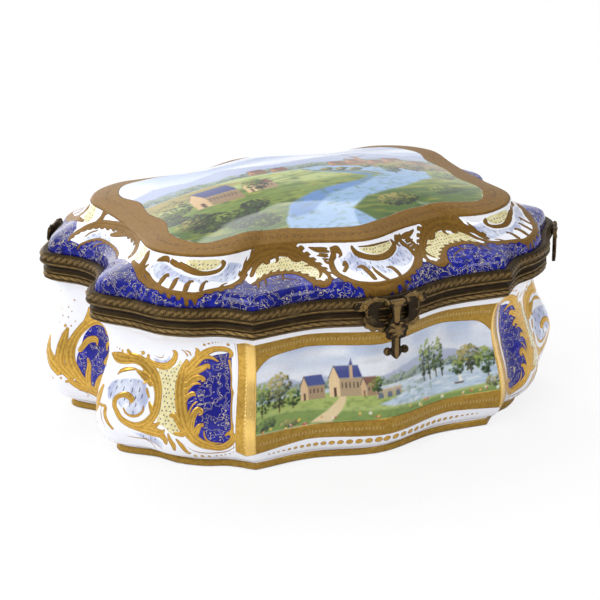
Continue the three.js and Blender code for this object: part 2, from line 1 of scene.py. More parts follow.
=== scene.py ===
"""Looks of a shaped porcelain casket with cast gilt metal mounts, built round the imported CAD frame."""
import json
import math
import bpy
import numpy as np
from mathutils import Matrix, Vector

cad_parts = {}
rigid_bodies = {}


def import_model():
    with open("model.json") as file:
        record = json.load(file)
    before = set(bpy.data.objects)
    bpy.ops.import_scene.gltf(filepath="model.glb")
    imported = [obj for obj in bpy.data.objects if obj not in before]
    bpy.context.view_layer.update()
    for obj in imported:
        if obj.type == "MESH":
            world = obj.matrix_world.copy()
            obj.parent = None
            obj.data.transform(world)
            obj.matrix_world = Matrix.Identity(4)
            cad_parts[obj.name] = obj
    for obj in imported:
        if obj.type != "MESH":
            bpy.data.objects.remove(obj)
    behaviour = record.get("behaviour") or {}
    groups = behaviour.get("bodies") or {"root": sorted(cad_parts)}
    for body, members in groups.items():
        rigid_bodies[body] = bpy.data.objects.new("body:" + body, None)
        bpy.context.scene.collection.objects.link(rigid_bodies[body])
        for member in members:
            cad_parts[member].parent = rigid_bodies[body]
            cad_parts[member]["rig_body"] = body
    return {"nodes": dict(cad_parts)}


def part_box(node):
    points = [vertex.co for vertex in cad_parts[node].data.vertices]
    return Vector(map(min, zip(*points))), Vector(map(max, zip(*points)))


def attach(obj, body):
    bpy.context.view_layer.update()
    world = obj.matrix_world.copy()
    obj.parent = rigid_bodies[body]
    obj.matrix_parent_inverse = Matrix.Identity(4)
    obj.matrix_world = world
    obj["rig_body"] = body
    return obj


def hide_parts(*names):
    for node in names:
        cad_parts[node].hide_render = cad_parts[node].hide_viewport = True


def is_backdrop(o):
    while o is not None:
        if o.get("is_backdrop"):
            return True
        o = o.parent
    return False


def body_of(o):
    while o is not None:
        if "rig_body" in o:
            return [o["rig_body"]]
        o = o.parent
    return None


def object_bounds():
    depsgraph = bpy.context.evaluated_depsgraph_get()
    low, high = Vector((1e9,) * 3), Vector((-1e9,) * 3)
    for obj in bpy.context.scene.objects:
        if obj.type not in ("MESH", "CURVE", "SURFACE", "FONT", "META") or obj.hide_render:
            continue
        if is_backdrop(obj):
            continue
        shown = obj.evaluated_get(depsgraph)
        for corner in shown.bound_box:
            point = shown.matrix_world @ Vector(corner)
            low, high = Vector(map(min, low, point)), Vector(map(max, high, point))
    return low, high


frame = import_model()
cad_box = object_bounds()
MM = 0.001

# The model's origin is the middle of the whole piece, hinge and clasp included, so the porcelain stands off by this
SHIFT = np.array([0.0, 0.6235])

# Sizes of the porcelain in mm, the same named sizes as in the CAD source
HALF_WIDTH, HALF_DEPTH = 167.0, 132.5
NECK, LIP_TOP = 93.3, 101.65
PORCELAIN_INSET, RIM_WALL, LID_WALL, WALL_DRAW = 2.5, 5.0, 6.0, 0.4
PARTING, LID_TOP, BAND, APEX = 103.5, 113.2, 139.5, 156.5
GUIDE_TOP, EDGE_FOOT = PARTING + 4.6, 105.35
FLANK_SWELL, SWELL_HEIGHT, SWELL_SPAN, FLANK_REACH = 9.0, 48.0, 22.0, 26.0
# Steps of the CAD outline between two points of the plan, on the front and on the sides, and on a whole face
FRONT_SPLIT, SIDE_SPLIT, FRONT_STEPS, SIDE_STEPS = 3, 2, 12, 28
# Distance between mesh points, and the mm that a profile's shares are stretched to when it is resampled
PITCH, PROFILE_SPAN, SKIRT_REACH, DOME_REACH = 0.6, 22.0, 40.0, 100.0
SKIRT_RISE, DOME_RISE = BAND - LID_TOP, APEX - BAND


def inset(side, front):
    return (HALF_WIDTH - side, HALF_DEPTH - front)


GIRDLE = [(0, HALF_DEPTH), (48, HALF_DEPTH - 12.5), inset(76, 11), inset(60, 26.5), inset(43, 33.5),
          inset(28, 45.5), inset(18, 62.5), inset(0, 90.5), (HALF_WIDTH - 16, 18), (HALF_WIDTH - 21, 0)]
FOOT = [(0, HALF_DEPTH - 15), (45, HALF_DEPTH - 26), inset(83.5, 24.5), inset(71, 37.5), inset(57, 44.5),
        inset(45, 55.5), inset(37, 69.5), inset(18, 90.5), (HALF_WIDTH - 33, 18), (HALF_WIDTH - 37, 0)]
CARTOUCHE = [(0, HALF_DEPTH - 36.5), (36, HALF_DEPTH - 49.5), inset(101, 56), inset(90, 52.5), inset(74, 49.5),
             inset(56, 56), inset(45, 65.5), inset(37.5, 80.5), (HALF_WIDTH - 39.5, 25), (HALF_WIDTH - 40.5, 0)]
BODY_PROFILE = [(1.2, .83), (4, .86), (5.6, .9), (8, .56), (11.5, .32), (17, .17), (26, .11), (38, .22),
                (52, .47), (66, .65), (77, .61), (86, .4), (93.3, .03)]
INNER_PROFILE = [(88, .36), (78, .6), (64, .64), (46, .4), (28, .2), (19, .34), (12, .8)]
SKIRT_PROFILE = [(0, .02), (.03, .16), (.09, .27), (.3, .38), (.6, .52), (.84, .73), (1, 1)]
DOME_PROFILE = [(1, 0), (.92, .15), (.8, .36), (.6, .66), (.32, .92), (0, 1)]


# ---------------------------------------------------------------- plans and profiles
def smooth_run(points, u):
    """Centripetal Catmull-Rom through points, at parameters u, with a whole number at each point."""
    p = np.array(points, float)
    p = np.vstack([2 * p[0] - p[1], p, 2 * p[-1] - p[-2]])
    k = np.clip(np.floor(u).astype(int), 0, len(points) - 2)
    w = (u - k)[:, None]
    a, b, c, d = p[k], p[k + 1], p[k + 2], p[k + 3]
    dt = [np.maximum(((q - r) ** 2).sum(1), 1e-12)[:, None] ** 0.25 for q, r in ((b, a), (c, b), (d, c))]
    t1 = ((b - a) / dt[0] - (c - a) / (dt[0] + dt[1]) + (c - b) / dt[1]) * dt[1]
    t2 = ((c - b) / dt[1] - (d - b) / (dt[1] + dt[2]) + (d - c) / dt[2]) * dt[1]
    return b + t1 * w + (3 * (c - b) - 2 * t1 - t2) * w ** 2 + (2 * (b - c) + t1 + t2) * w ** 3


def smooth(points, count=None):
    """The same curve at count even parameters, or at four to each span."""
    return smooth_run(points, np.linspace(0, len(points) - 1, count or (len(points) - 1) * 4 + 1))


def arc(points):
    """Distance along a run of points, at each point."""
    return np.r_[0, np.cumsum(np.linalg.norm(np.diff(points, axis=0), axis=1))]


def at_arc(at, run, points):
    return np.array([np.interp(at, run, values) for values in points.T])


def unit(v):
    return v / np.maximum(np.linalg.norm(v, axis=-1, keepdims=True), 1e-12)


TURN = 2 * (FRONT_STEPS + SIDE_STEPS)


def outline(plan, u):
    """The closed outline of a quarter plan, counter-clockwise from the left front arris at u = 0."""
    q = np.array(plan, float)
    front = np.vstack([q[2:0:-1] * (-1, -1), q[:3] * (1, -1)])
    side = np.vstack([q[2:] * (1, -1), q[-2:1:-1]])
    half = np.mod(u, TURN / 2)
    flip = np.where(np.mod(u, TURN) < TURN / 2, 1.0, -1.0)[:, None]
    on_front, on_side = smooth_run(front, half / FRONT_SPLIT), smooth_run(side, (half - FRONT_STEPS) / SIDE_SPLIT)
    return np.where((half < FRONT_STEPS)[:, None], on_front, on_side) * flip


def mitred_normals():
    """Outward normals at the CAD's own outline points, longer where the outline turns a corner."""
    line = outline(GIRDLE, np.arange(float(TURN)))
    before, after = unit(line - np.roll(line, 1, 0)), unit(np.roll(line, -1, 0) - line)
    along = unit(before + after)
    return np.stack([along[:, 1], -along[:, 0]], 1) / np.maximum(0.6, (along * after).sum(1))[:, None]


def even_columns(pitch):
    """Places round the box about one pitch apart along the girdle, with every arris on a column."""
    places, arcs, start = [], [], 0.0
    for low, high in ((0, FRONT_STEPS), (FRONT_STEPS, FRONT_STEPS + SIDE_STEPS)):
        u = np.linspace(low, high, 4001)
        s = arc(outline(GIRDLE, np.minimum(u, high - 1e-9)))
        n = int(round(s[-1] / pitch))
        places.append(np.interp(np.arange(n) * s[-1] / n, s, u))
        arcs.append(start + np.arange(n) * s[-1] / n)
        start += s[-1]
    u, s = np.concatenate(places), np.concatenate(arcs)
    return np.r_[u, u + TURN / 2], np.r_[s, s + start], start


U, S, HALF_TURN = even_columns(PITCH)
COLUMNS = len(U)
girdle_line, foot_line, cartouche_line = (outline(plan, U) for plan in (GIRDLE, FOOT, CARTOUCHE))
corner_normals = mitred_normals()
step = np.floor(U).astype(int)
part = (U - step)[:, None]
normals = corner_normals[step % TURN] * (1 - part) + corner_normals[(step + 1) % TURN] * part
# Distance along the girdle from the middle of the front or back, and how far a column is in a flank's swell
QUARTER = HALF_TURN / 2
from_crest = np.mod(S - np.interp(FRONT_STEPS, U, S) / 2 + QUARTER, HALF_TURN) - QUARTER
flank_middle = (np.array(GIRDLE[6]) + np.array(GIRDLE[7])) / 2
flank = np.maximum(0, 1 - (np.linalg.norm(np.abs(girdle_line) - flank_middle, axis=1) / FLANK_REACH) ** 2) ** 2


def even_run(points, scale, pitch):
    """A smooth profile through points, resampled evenly; the second value is stretched to mm by scale."""
    fine = smooth(np.array(points, float) * (1, scale), 3000)
    run = arc(fine)
    return at_arc(np.linspace(0, run[-1], int(round(run[-1] / pitch)) + 1), run, fine).T / (1, scale)


def ring(height, push=0.0, target=None, share=0.0, swell=0.0):
    """The girdle at a height, drawn by a share towards another line and pushed out square to itself."""
    q = girdle_line if target is None else girdle_line * (1 - share) + target * share
    q = q + normals * (push + swell * flank)[:, None] + SHIFT
    return np.column_stack([q, np.full(COLUMNS, height)])


def grid_mesh(name, rows, closed=False, caps=False):
    """A mesh skinned from rings of equal count; caps close its first and last ring with a fan."""
    n = len(rows)
    co = np.concatenate(rows)
    i, j = np.meshgrid(np.arange(n if closed else n - 1), np.arange(COLUMNS), indexing="ij")
    k, right = (i + 1) % n, (j + 1) % COLUMNS
    quads = np.stack([i * COLUMNS + j, i * COLUMNS + right, k * COLUMNS + right, k * COLUMNS + j], -1).reshape(-1, 4)
    loops, totals = quads.ravel(), np.full(len(quads), 4)
    if caps:
        co = np.vstack([co, [*SHIFT, rows[0][0, 2]], [*SHIFT, rows[-1][0, 2]]])
        j, right = np.arange(COLUMNS), (np.arange(COLUMNS) + 1) % COLUMNS
        first = np.stack([np.full(COLUMNS, n * COLUMNS), right, j], 1)
        last = np.stack([np.full(COLUMNS, n * COLUMNS + 1), (n - 1) * COLUMNS + j, (n - 1) * COLUMNS + right], 1)
        loops = np.r_[loops, first.ravel(), last.ravel()]
        totals = np.r_[totals, np.full(2 * COLUMNS, 3)]
    mesh = bpy.data.meshes.new(name)
    mesh.vertices.add(len(co))
    mesh.vertices.foreach_set("co", (co * MM).ravel())
    mesh.loops.add(len(loops))
    mesh.loops.foreach_set("vertex_index", loops.astype(np.int32))
    mesh.polygons.add(len(totals))
    mesh.polygons.foreach_set("loop_start", np.r_[0, np.cumsum(totals)[:-1]].astype(np.int32))
    mesh.polygons.foreach_set("loop_total", totals.astype(np.int32))
    mesh.polygons.foreach_set("use_smooth", np.ones(len(totals), bool))
    mesh.update()
    mesh.validate()
    return link(bpy.data.objects.new(name, mesh))


def link(obj):
    bpy.context.scene.collection.objects.link(obj)
    return obj


def add_value(obj, name, values, rest=0.0):
    """One number for each vertex; rest is for the vertices past the end of values."""
    data = np.full(len(obj.data.vertices), rest, np.float32)
    data[:len(values)] = values
    obj.data.attributes.new(name, "FLOAT", "POINT").data.foreach_set("value", data)


# ---------------------------------------------------------------- drawing in mm on a flat chart
# Depth of a point that no shape comes near, and the deepest that is stored
OUTSIDE, DEEPEST = -1.5, 6.0


def from_line(x, y, a, b):
    """The share of the line from a to b nearest to each point, and the way from there to the point."""
    ab = b[:2] - a[:2]
    t = np.clip(((x - a[0]) * ab[0] + (y - a[1]) * ab[1]) / max(ab @ ab, 1e-9), 0, 1)
    return t, x - a[0] - t * ab[0], y - a[1] - t * ab[1]


def depth_inside(x, y, p):
    """Signed distance to a closed outline, positive inside."""
    far, inside = np.full(len(x), 9.0), np.zeros(len(x), bool)
    for a, b in zip(p, np.roll(p, -1, 0)):
        far = np.minimum(far, np.hypot(*from_line(x, y, a, b)[1:]))
        if a[1] != b[1]:
            inside ^= ((a[1] > y) != (b[1] > y)) & (x < a[0] + (y - a[1]) / (b[1] - a[1]) * (b[0] - a[0]))
    return np.where(inside, far, -far)


class Field:
    """Points of a flat chart, in mm."""

    def __init__(self, x, y):
        self.x, self.y = x, y

    def near(self, xy, reach):
        lo, hi = xy.min(0) - reach, xy.max(0) + reach
        return np.nonzero((self.x > lo[0]) & (self.x < hi[0]) & (self.y > lo[1]) & (self.y < hi[1]))[0]


class Chart(Field):
    """Layers of signed depth in mm inside painted shapes."""

    def __init__(self, x, y):
        super().__init__(x, y)
        self.layers = {}
        self.across = np.zeros(len(x), np.float32)

    def layer(self, name):
        return self.layers.setdefault(name, np.full(len(self.x), OUTSIDE, np.float32))

    def put(self, name, index, depth, cut=()):
        layer = self.layer(name)
        layer[index] = np.maximum(layer[index], depth)
        for other in cut:
            under = self.layer(other)
            under[index] = np.minimum(under[index], -depth)

    def stroke(self, name, points, cut=()):
        """A brush stroke through (x, y, width) points; gold also keeps where each point is across the stroke."""
        p = np.array(points, float)
        p = smooth(p) if len(p) > 2 else p
        p[:, 2] = np.maximum(p[:, 2], 0.05)
        index = self.near(p[:, :2], p[:, 2].max() / 2 - OUTSIDE)
        if not len(index):
            return
        best, across = np.full(len(index), -9.0), np.zeros(len(index))
        for a, b in zip(p[:-1], p[1:]):
            t, ex, ey = from_line(self.x[index], self.y[index], a, b)
            half = (a[2] + t * (b[2] - a[2])) / 2
            depth = half - np.hypot(ex, ey)
            m = depth > best
            best[m] = depth[m]
            way = unit(b[:2] - a[:2])
            across[m] = ((ex * way[1] - ey * way[0]) / np.maximum(half, 0.3))[m]
        if name == "gold":
            better = best > self.layer(name)[index]
            self.across[index[better]] = across[better]
        self.put(name, index, best, cut)

    def patch(self, name, points):
        """A filled shape inside a smooth closed outline."""
        p = np.array(points, float)
        p = smooth_run(np.vstack([p, p[:1]]), np.linspace(0, len(p) - 1e-6, len(p) * 4))
        index = self.near(p, -OUTSIDE)
        if len(index):
            self.put(name, index, depth_inside(self.x[index], self.y[index], p))

    def dot(self, name, x, y, width, height=None):
        height = height or width
        index = self.near(np.array([[x, y]]), max(width, height) / 2 - OUTSIDE)
        r = np.hypot((self.x[index] - x) / (width / 2), (self.y[index] - y) / (height / 2))
        self.put(name, index, (1 - r) * min(width, height) / 2)

    def place(self, items, flip=1.0, shift=0.0, flesh=1.0):
        """Draws strokes and patches, mirrored and moved along the chart, and again where the chart wraps."""
        for turn in (-HALF_TURN, 0.0, HALF_TURN):
            for kind, name, points in items:
                p = np.array(points, float)
                p[:, 0] = p[:, 0] * flip + shift + turn
                if kind == "patch":
                    self.patch(name, p)
                    continue
                p[:, 2] *= flesh if name == "gold" else 1.0
                self.stroke(name, p, ("grey", "cobalt", "yellow") if name == "white" else ())

    def lattice(self, name, pitch, width, inside, margin=0.8, tick=0.0):
        """Small dots, or upright curved ticks, on a staggered lattice inside another layer."""
        rise = pitch * 0.87 + tick * 0.6
        row = np.round(self.y / rise)
        off = np.where(np.mod(row, 2) == 0, 0.0, 0.5)
        cell = np.round(self.x / pitch - off)
        dx = self.x - (cell + off) * pitch - 0.16 * pitch * np.sin(row * 12.9898 + cell * 78.233)
        dy = self.y - row * rise - 0.14 * pitch * np.sin(row * 39.346 + cell * 11.135)
        far = np.hypot(dx + 0.16 * dy * dy * (tick > 0), np.maximum(np.abs(dy) - tick, 0))
        depth = np.minimum(width / 2 - far, self.layer(inside) - margin)
        index = np.nonzero(depth > OUTSIDE)[0]
        self.put(name, index, depth[index])

    def stored(self, name):
        return np.clip(self.layer(name), OUTSIDE, DEEPEST)


def leafy(item, side, pitch, reach):
    """Short pointed lobes along one side of a stroke, as on an acanthus leaf."""
    lean = 1.5
    fine = smooth(item[2], 200)
    run = arc(fine[:, :2])
    lobes = []
    for at in np.arange(pitch * 0.6, run[-1] - pitch * 0.4, pitch):
        x, y, width = at_arc(at, run, fine)
        root, tip = np.array([x, y]), width * reach + 0.9
        along = unit(at_arc(at + 0.5, run, fine[:, :2]) - root)
        out = np.array([-along[1], along[0]]) * side
        bend = root + out * (width * 0.35 + tip * 0.45) + along * tip * lean * 0.4
        end = root + out * (width * 0.35 + tip * 0.8) + along * tip * lean
        lobes.append(gilt(*root, width * 0.7, *bend, width * 0.42 + 0.5, *end, 0.3))
    return lobes


# ---------------------------------------------------------------- ornament, in mm
def brush(layer):
    """Writes a stroke of one layer as x, y, width, x, y, width and so on."""
    return lambda *v: ("stroke", layer, list(zip(v[::3], v[1::3], v[2::3])))


def ground(layer):
    """Writes a patch of one layer as x, y, x, y and so on round its edge."""
    return lambda *v: ("patch", layer, list(zip(v[::2], v[1::2])))


gilt, hair, white = brush("gold"), brush("line"), brush("white")
blue, straw, shell = ground("cobalt"), ground("yellow"), ground("grey")

# Lobe of the body: distance along the rim from the middle of the front, height, and brush width
LOBE = [
    blue(110.7, 81, 110.7, 63.2, 109.3, 49.5, 108.1, 35.6, 107.1, 26, 111.8, 18, 120.9, 17.3, 128.7, 20.2,
         133.4, 25.5, 138.7, 34.4, 141.1, 42.7, 142.3, 51.7, 141.4, 60.1, 139.2, 66.8, 132.2, 74, 122.2, 78,
         115.3, 79.1),
    straw(166.2, 65, 156.1, 66.8, 151, 69, 147.4, 73.6, 146.1, 69.6, 146.9, 63.7, 149, 58.6, 148, 51, 146.1, 42.1,
          143.4, 35.4, 140.8, 29.3, 144.9, 25.5, 149.2, 27.1, 154.3, 30.8, 159.3, 31.5, 159.2, 37.2, 158.2, 43.5,
          158.9, 49.5, 161.9, 55.9, 165.9, 60.7),
    shell(196.3, 50.2, 193.8, 55.5, 186, 57.8, 179.6, 57.7, 174.6, 56.2, 171.2, 53.2, 168.9, 48.7, 168.3, 45,
          169.4, 40.9, 170.3, 36.8, 174, 33, 178.7, 33.2, 182.1, 36.1, 186, 41.2, 190, 44.1, 193.2, 43.3),
    shell(171.6, 71.6, 165.3, 71, 159.4, 72.1, 155.6, 75.7, 154.9, 71.8, 160.7, 69, 168.5, 68.3),
    shell(178.7, 22.5, 173.5, 22.4, 165.9, 22.5, 158.6, 21.7, 154.7, 18.7, 155.8, 15, 159.8, 16.3, 166.9, 17.2,
          174.2, 19.5),
    gilt(112.4, 76.5, 1, 110.7, 79, 2.4, 112.3, 81.8, 2.9, 117.3, 82.7, 3.1, 122.4, 82.4, 3.3, 127.9, 80.2, 3.9,
         132.9, 76.5, 4.6, 137.7, 72, 4.8, 141.6, 68.3, 4.3),
    gilt(139.7, 68.3, 1, 135, 73.2, 2.2, 130.2, 76.5, 2.4, 125, 76.4, 2.1, 120.5, 73.6, 0.9),
    gilt(142.7, 73.4, 2.1, 145, 68.1, 3.9, 145.9, 63, 5.5, 146, 57.7, 6.2, 145.4, 51.5, 6.2, 143.8, 45.6, 6.2,
         141.8, 39.7, 5.8, 139.7, 34.3, 5.7, 136.8, 29.2, 5.5, 133.2, 24.8, 5.3, 128.6, 21, 4.8, 123.2, 18.7, 3.9,
         117.6, 17.4, 3.6, 112.5, 19.3, 3.6, 108.5, 23.2, 3.3, 107.6, 26.8, 2.9, 110.1, 28.4, 2.2, 112.7, 26.5, 1),
    gilt(145.2, 58.5, 3.4, 142.2, 63.3, 3.9, 136.9, 66.8, 3.8, 131.6, 69.1, 3.3, 127.6, 70.9, 2.2, 126.8, 69, 1),
    gilt(143.5, 56.2, 3.1, 140, 60.1, 3.4, 135.8, 62.5, 3.3, 132.3, 63, 2.4, 130, 61.5, 1.5, 131.9, 60.7, 0.7),
    gilt(142.8, 51.7, 2.6, 140.9, 55.5, 2.1, 137.8, 58.4, 1.4, 133.7, 59.3, 1, 132, 58.5, 0.5),
    gilt(142.1, 48, 2.6, 140, 51.1, 2.4, 136.7, 52.8, 2.2, 135.1, 51.7, 1),
    gilt(137.8, 35.2, 0.9, 137.8, 39.8, 1, 136.7, 44.3, 1, 134.6, 47.3, 0.9, 132.9, 48, 0.4),
    gilt(135.4, 28.7, 3.4, 135.6, 34.5, 3.8, 134.5, 39.9, 3.6, 132.1, 43.1, 3.1, 129.6, 42.1, 2.2, 129.4, 40.5, 1.2,
         131, 39.7, 0.5),
    gilt(133, 25.5, 3.4, 131.6, 29.8, 3.6, 129.8, 33, 2.4, 127.9, 33.7, 1.4, 127.5, 32.2, 0.5),
    gilt(126.8, 29.5, 0.7, 126.1, 25.6, 1, 123.8, 22.5, 1, 119.8, 20.9, 1, 115.3, 21, 0.5),
    gilt(112.5, 74.1, 1.7, 111.7, 69, 1.2, 111, 63.2, 0.9, 110.6, 57, 1, 109.6, 54, 1.5, 109.7, 50.2, 1,
         109.6, 43.4, 1, 109, 37.1, 1, 108.2, 31.5, 1.7, 108.9, 29.2, 2.2),
    gilt(135.7, 72.8, 2.2, 134.6, 78.2, 2.6, 133.5, 81.7, 2.1, 134.5, 83.4, 0.7),
    gilt(145.5, 81.3, 0.3, 143.5, 80.2, 0.7, 141.6, 77.3, 0.9),
    gilt(142.1, 81, 0.4, 140.1, 80.1, 1, 138.9, 77.4, 0.5),
    gilt(150, 59.2, 0.9, 148.1, 54.1, 2.2, 146.1, 49, 2.6),
    gilt(149.8, 38.2, 1.7, 148.2, 38.9, 2.2, 145.5, 36.5, 2.6, 141.8, 31.5, 2.9, 138.3, 28.5, 2.9),
    gilt(174.6, 72, 1.7, 174.6, 69.7, 1.9, 171.2, 67.5, 2.6, 165.2, 66.6, 3.3, 158.9, 67.7, 3.6, 153.9, 71.2, 3.4,
         151.4, 75, 2.9, 150.5, 78.6, 2.4, 152, 79.5, 1.2),
    hair(170.3, 73.3, 0.3, 166.9, 72, 0.6, 162.9, 72.7, 0.6, 161.2, 75.1, 0.3),
    gilt(201.9, 69.9, 1.4, 195.7, 69, 5.1, 190, 68.9, 5.1, 183.7, 69, 3.9, 178.3, 67.4, 3.9, 173.4, 64.3, 5.3,
         168.9, 60, 5.8, 165.2, 55.3, 5.3, 162.8, 50.3, 5, 161.6, 45, 4.8, 161.6, 39.8, 4.8, 163.7, 34.5, 4.6,
         168.4, 29.2, 4.6, 174.7, 26.8, 4.3, 180.2, 28.2, 3.8, 184.6, 31.7, 3.1, 187.2, 36.7, 2.6, 188.9, 40.7, 2.4,
         188.8, 45, 2.6, 186.3, 47.3, 2.7, 183.2, 48, 2.9, 180.1, 46.5, 2.7, 178.5, 44.3, 2.2, 179.2, 42.8, 0.9),
    white(181.4, 41.3, 2.1, 182.9, 37.9, 1.9, 182.1, 33.5, 2.2, 177.9, 30.7, 2.9, 173, 31, 3.3, 169.2, 34.5, 3.1,
          167.2, 38.8, 2.9, 166.8, 44.3, 2.6, 168.2, 49.5, 2.2, 171.3, 54, 1.9),
    gilt(171.1, 40.5, 0.7, 171.1, 37.5, 1.2, 173.8, 34.5, 1.4, 177.8, 33.8, 1.4, 181.3, 35.9, 1, 182.8, 39.2, 0.7),
    gilt(192.5, 59.2, 0.5, 191.1, 61.5, 1.7, 187, 63, 1.9, 182.9, 63.3, 1.2, 179.4, 62.5, 0.5),
    gilt(180, 62.2, 1.4, 176.8, 60.6, 2.6, 173, 58.5, 4.3),
    gilt(174.2, 54.7, 0.9, 172.4, 56.2, 1.7, 169.5, 54.8, 2.9),
    gilt(171.8, 51.6, 0.9, 170.7, 49.5, 1.2, 168.9, 46.5, 1),
    gilt(167.9, 43.5, 0.9, 166.4, 41.2, 2.2, 164.3, 38.3, 3.1),
    gilt(189.3, 74.2, 1.7, 186.8, 71.6, 2.6, 181.3, 70.4, 3.1, 174.9, 66.8, 3.4),
    gilt(237.3, 24.6, 0.7, 195.3, 38.3, 1.7, 195.8, 32.6, 1.9, 194.8, 27.3, 2.1, 192.1, 22.5, 1.7),
    hair(197.8, 40.5, 0.3, 198.9, 34.3, 0.6, 199.1, 27.8, 0.7, 197.8, 21.8, 0.3),
    gilt(175.8, 25.5, 2.6, 168.6, 25.5, 4.8, 162.6, 25.5, 5.1, 156.4, 25.2, 4.1, 153.2, 22.5, 3.1, 152.5, 19.5, 1.9),
    gilt(166.7, 27.4, 3.4, 161.6, 29.2, 3.1, 157.6, 32.2, 1.2),
    gilt(158.3, 26.9, 2.6, 154.5, 27, 2.1, 153.1, 28.6, 0.7),
    hair(185.4, 18.2, 0.3, 176.4, 18, 0.7, 167.8, 18, 0.7, 163.4, 15.1, 0.7, 163.6, 11.2, 0.3),
    hair(171.3, 19.5, 0.3, 163.5, 18.2, 0.5, 158, 15, 0.7, 156.6, 13.7, 0.3),
    gilt(150.4, 26.3, 1, 149.3, 22.5, 2.1, 147.4, 18.8, 2.6, 147.4, 15.1, 1.5),
    gilt(144.8, 23.2, 1, 141.9, 19.5, 2.4, 139.9, 15.7, 2.2, 138.3, 13.5, 1.7, 136.6, 13.5, 0.5),
    gilt(146.4, 27.2, 0.9, 144, 27.1, 2.1, 140.7, 26.9, 2.6),
    hair(137.8, 18.1, 0.3, 133.5, 15.3, 0.6, 127.3, 13.6, 0.7, 119, 13.4, 0.7, 112.1, 15.1, 0.6, 106.3, 19.5, 0.3),
]
LOBE_DOTS = [(127.8, 86.2, 1.9), (124.5, 87, 1.5), (122, 87.5, 1.2), (119.9, 87.8, 0.9), (118.3, 87.8, 0.7),
             (116.2, 88.2, 0.6), (112.1, 86.3, 2.2), (134.4, 11, 2.4), (129.8, 10.7, 2.4), (125.5, 10.3, 2.1),
             (120.3, 10.5, 1.5), (117, 11.1, 1.4), (113.9, 12, 1.2), (110.6, 13.4, 1), (107.7, 14.9, 0.9),
             (105.6, 16.2, 0.8), (104.1, 17.5, 0.6), (178.4, 73.6, 2.6), (180.6, 74.1, 0.7), (197.8, 75, 0.9),
             (195.7, 74.3, 1.2), (193.3, 73.5, 1.7)]

# Bay in the middle of each side of the body
BAY = [
    blue(225.5, 48, 226.5, 57, 232, 64, 240, 67.5, 256, 66, 256, 20, 240, 21, 232, 25, 227.5, 31, 225, 40),
    gilt(247, 19, 4, 234, 23, 5, 226, 30, 6, 220.5, 38, 6, 218.5, 46, 6, 220.5, 55, 5, 225, 62, 5, 232, 67, 5,
         241, 66.5, 4, 245, 61, 2),
    gilt(224, 60, 4, 227, 69, 3, 228, 75, 1),
    gilt(222, 27, 5, 214, 34, 5, 212.5, 44, 5, 212.5, 53, 4, 213, 58, 2),
    gilt(213, 30, 6, 206, 36, 7, 202.5, 42, 5, 200.5, 50, 2),
    gilt(226, 46, 3, 230, 53, 3.5, 236, 54.5, 3, 238, 51.5, 1.2),
    gilt(237, 21, 4, 236, 30, 4, 235.5, 37, 3, 233, 41, 1),
    gilt(250, 43, 3, 252.5, 47, 4, 253.5, 52, 4, 250.5, 56, 3, 247.5, 54, 2.5, 248.5, 51, 1.5),
    gilt(244, 22, 4, 247, 30, 3.4, 251, 35, 1.4),
    gilt(222, 23.5, 3, 228, 20.5, 4, 237, 19, 4, 246, 17.5, 4, 252, 13, 2.5),
    hair(226, 17.5, 0.3, 232, 17, 0.7, 237.5, 13.5, 0.3),
    hair(220, 56, 0.6, 223, 63, 1.4, 227, 69, 0.5),
]

BAY_DOTS = [(219, 22.5, 2.2), (215, 24.5, 1.8), (212.3, 26, 1.2), (208, 23, 1.6), (205, 23, 1.4), (233, 14, 1.2),
            (212, 73, 1.3), (214.5, 70.5, 1), (212, 66, 1.2), (211, 60, 2.2), (215, 60.5, 1.2), (217.5, 64, 0.9),
            (206, 70, 1.2), (207, 66, 1.4), (205.5, 61, 1.1), (218, 79, 1.4), (207.5, 84, 1.3)]

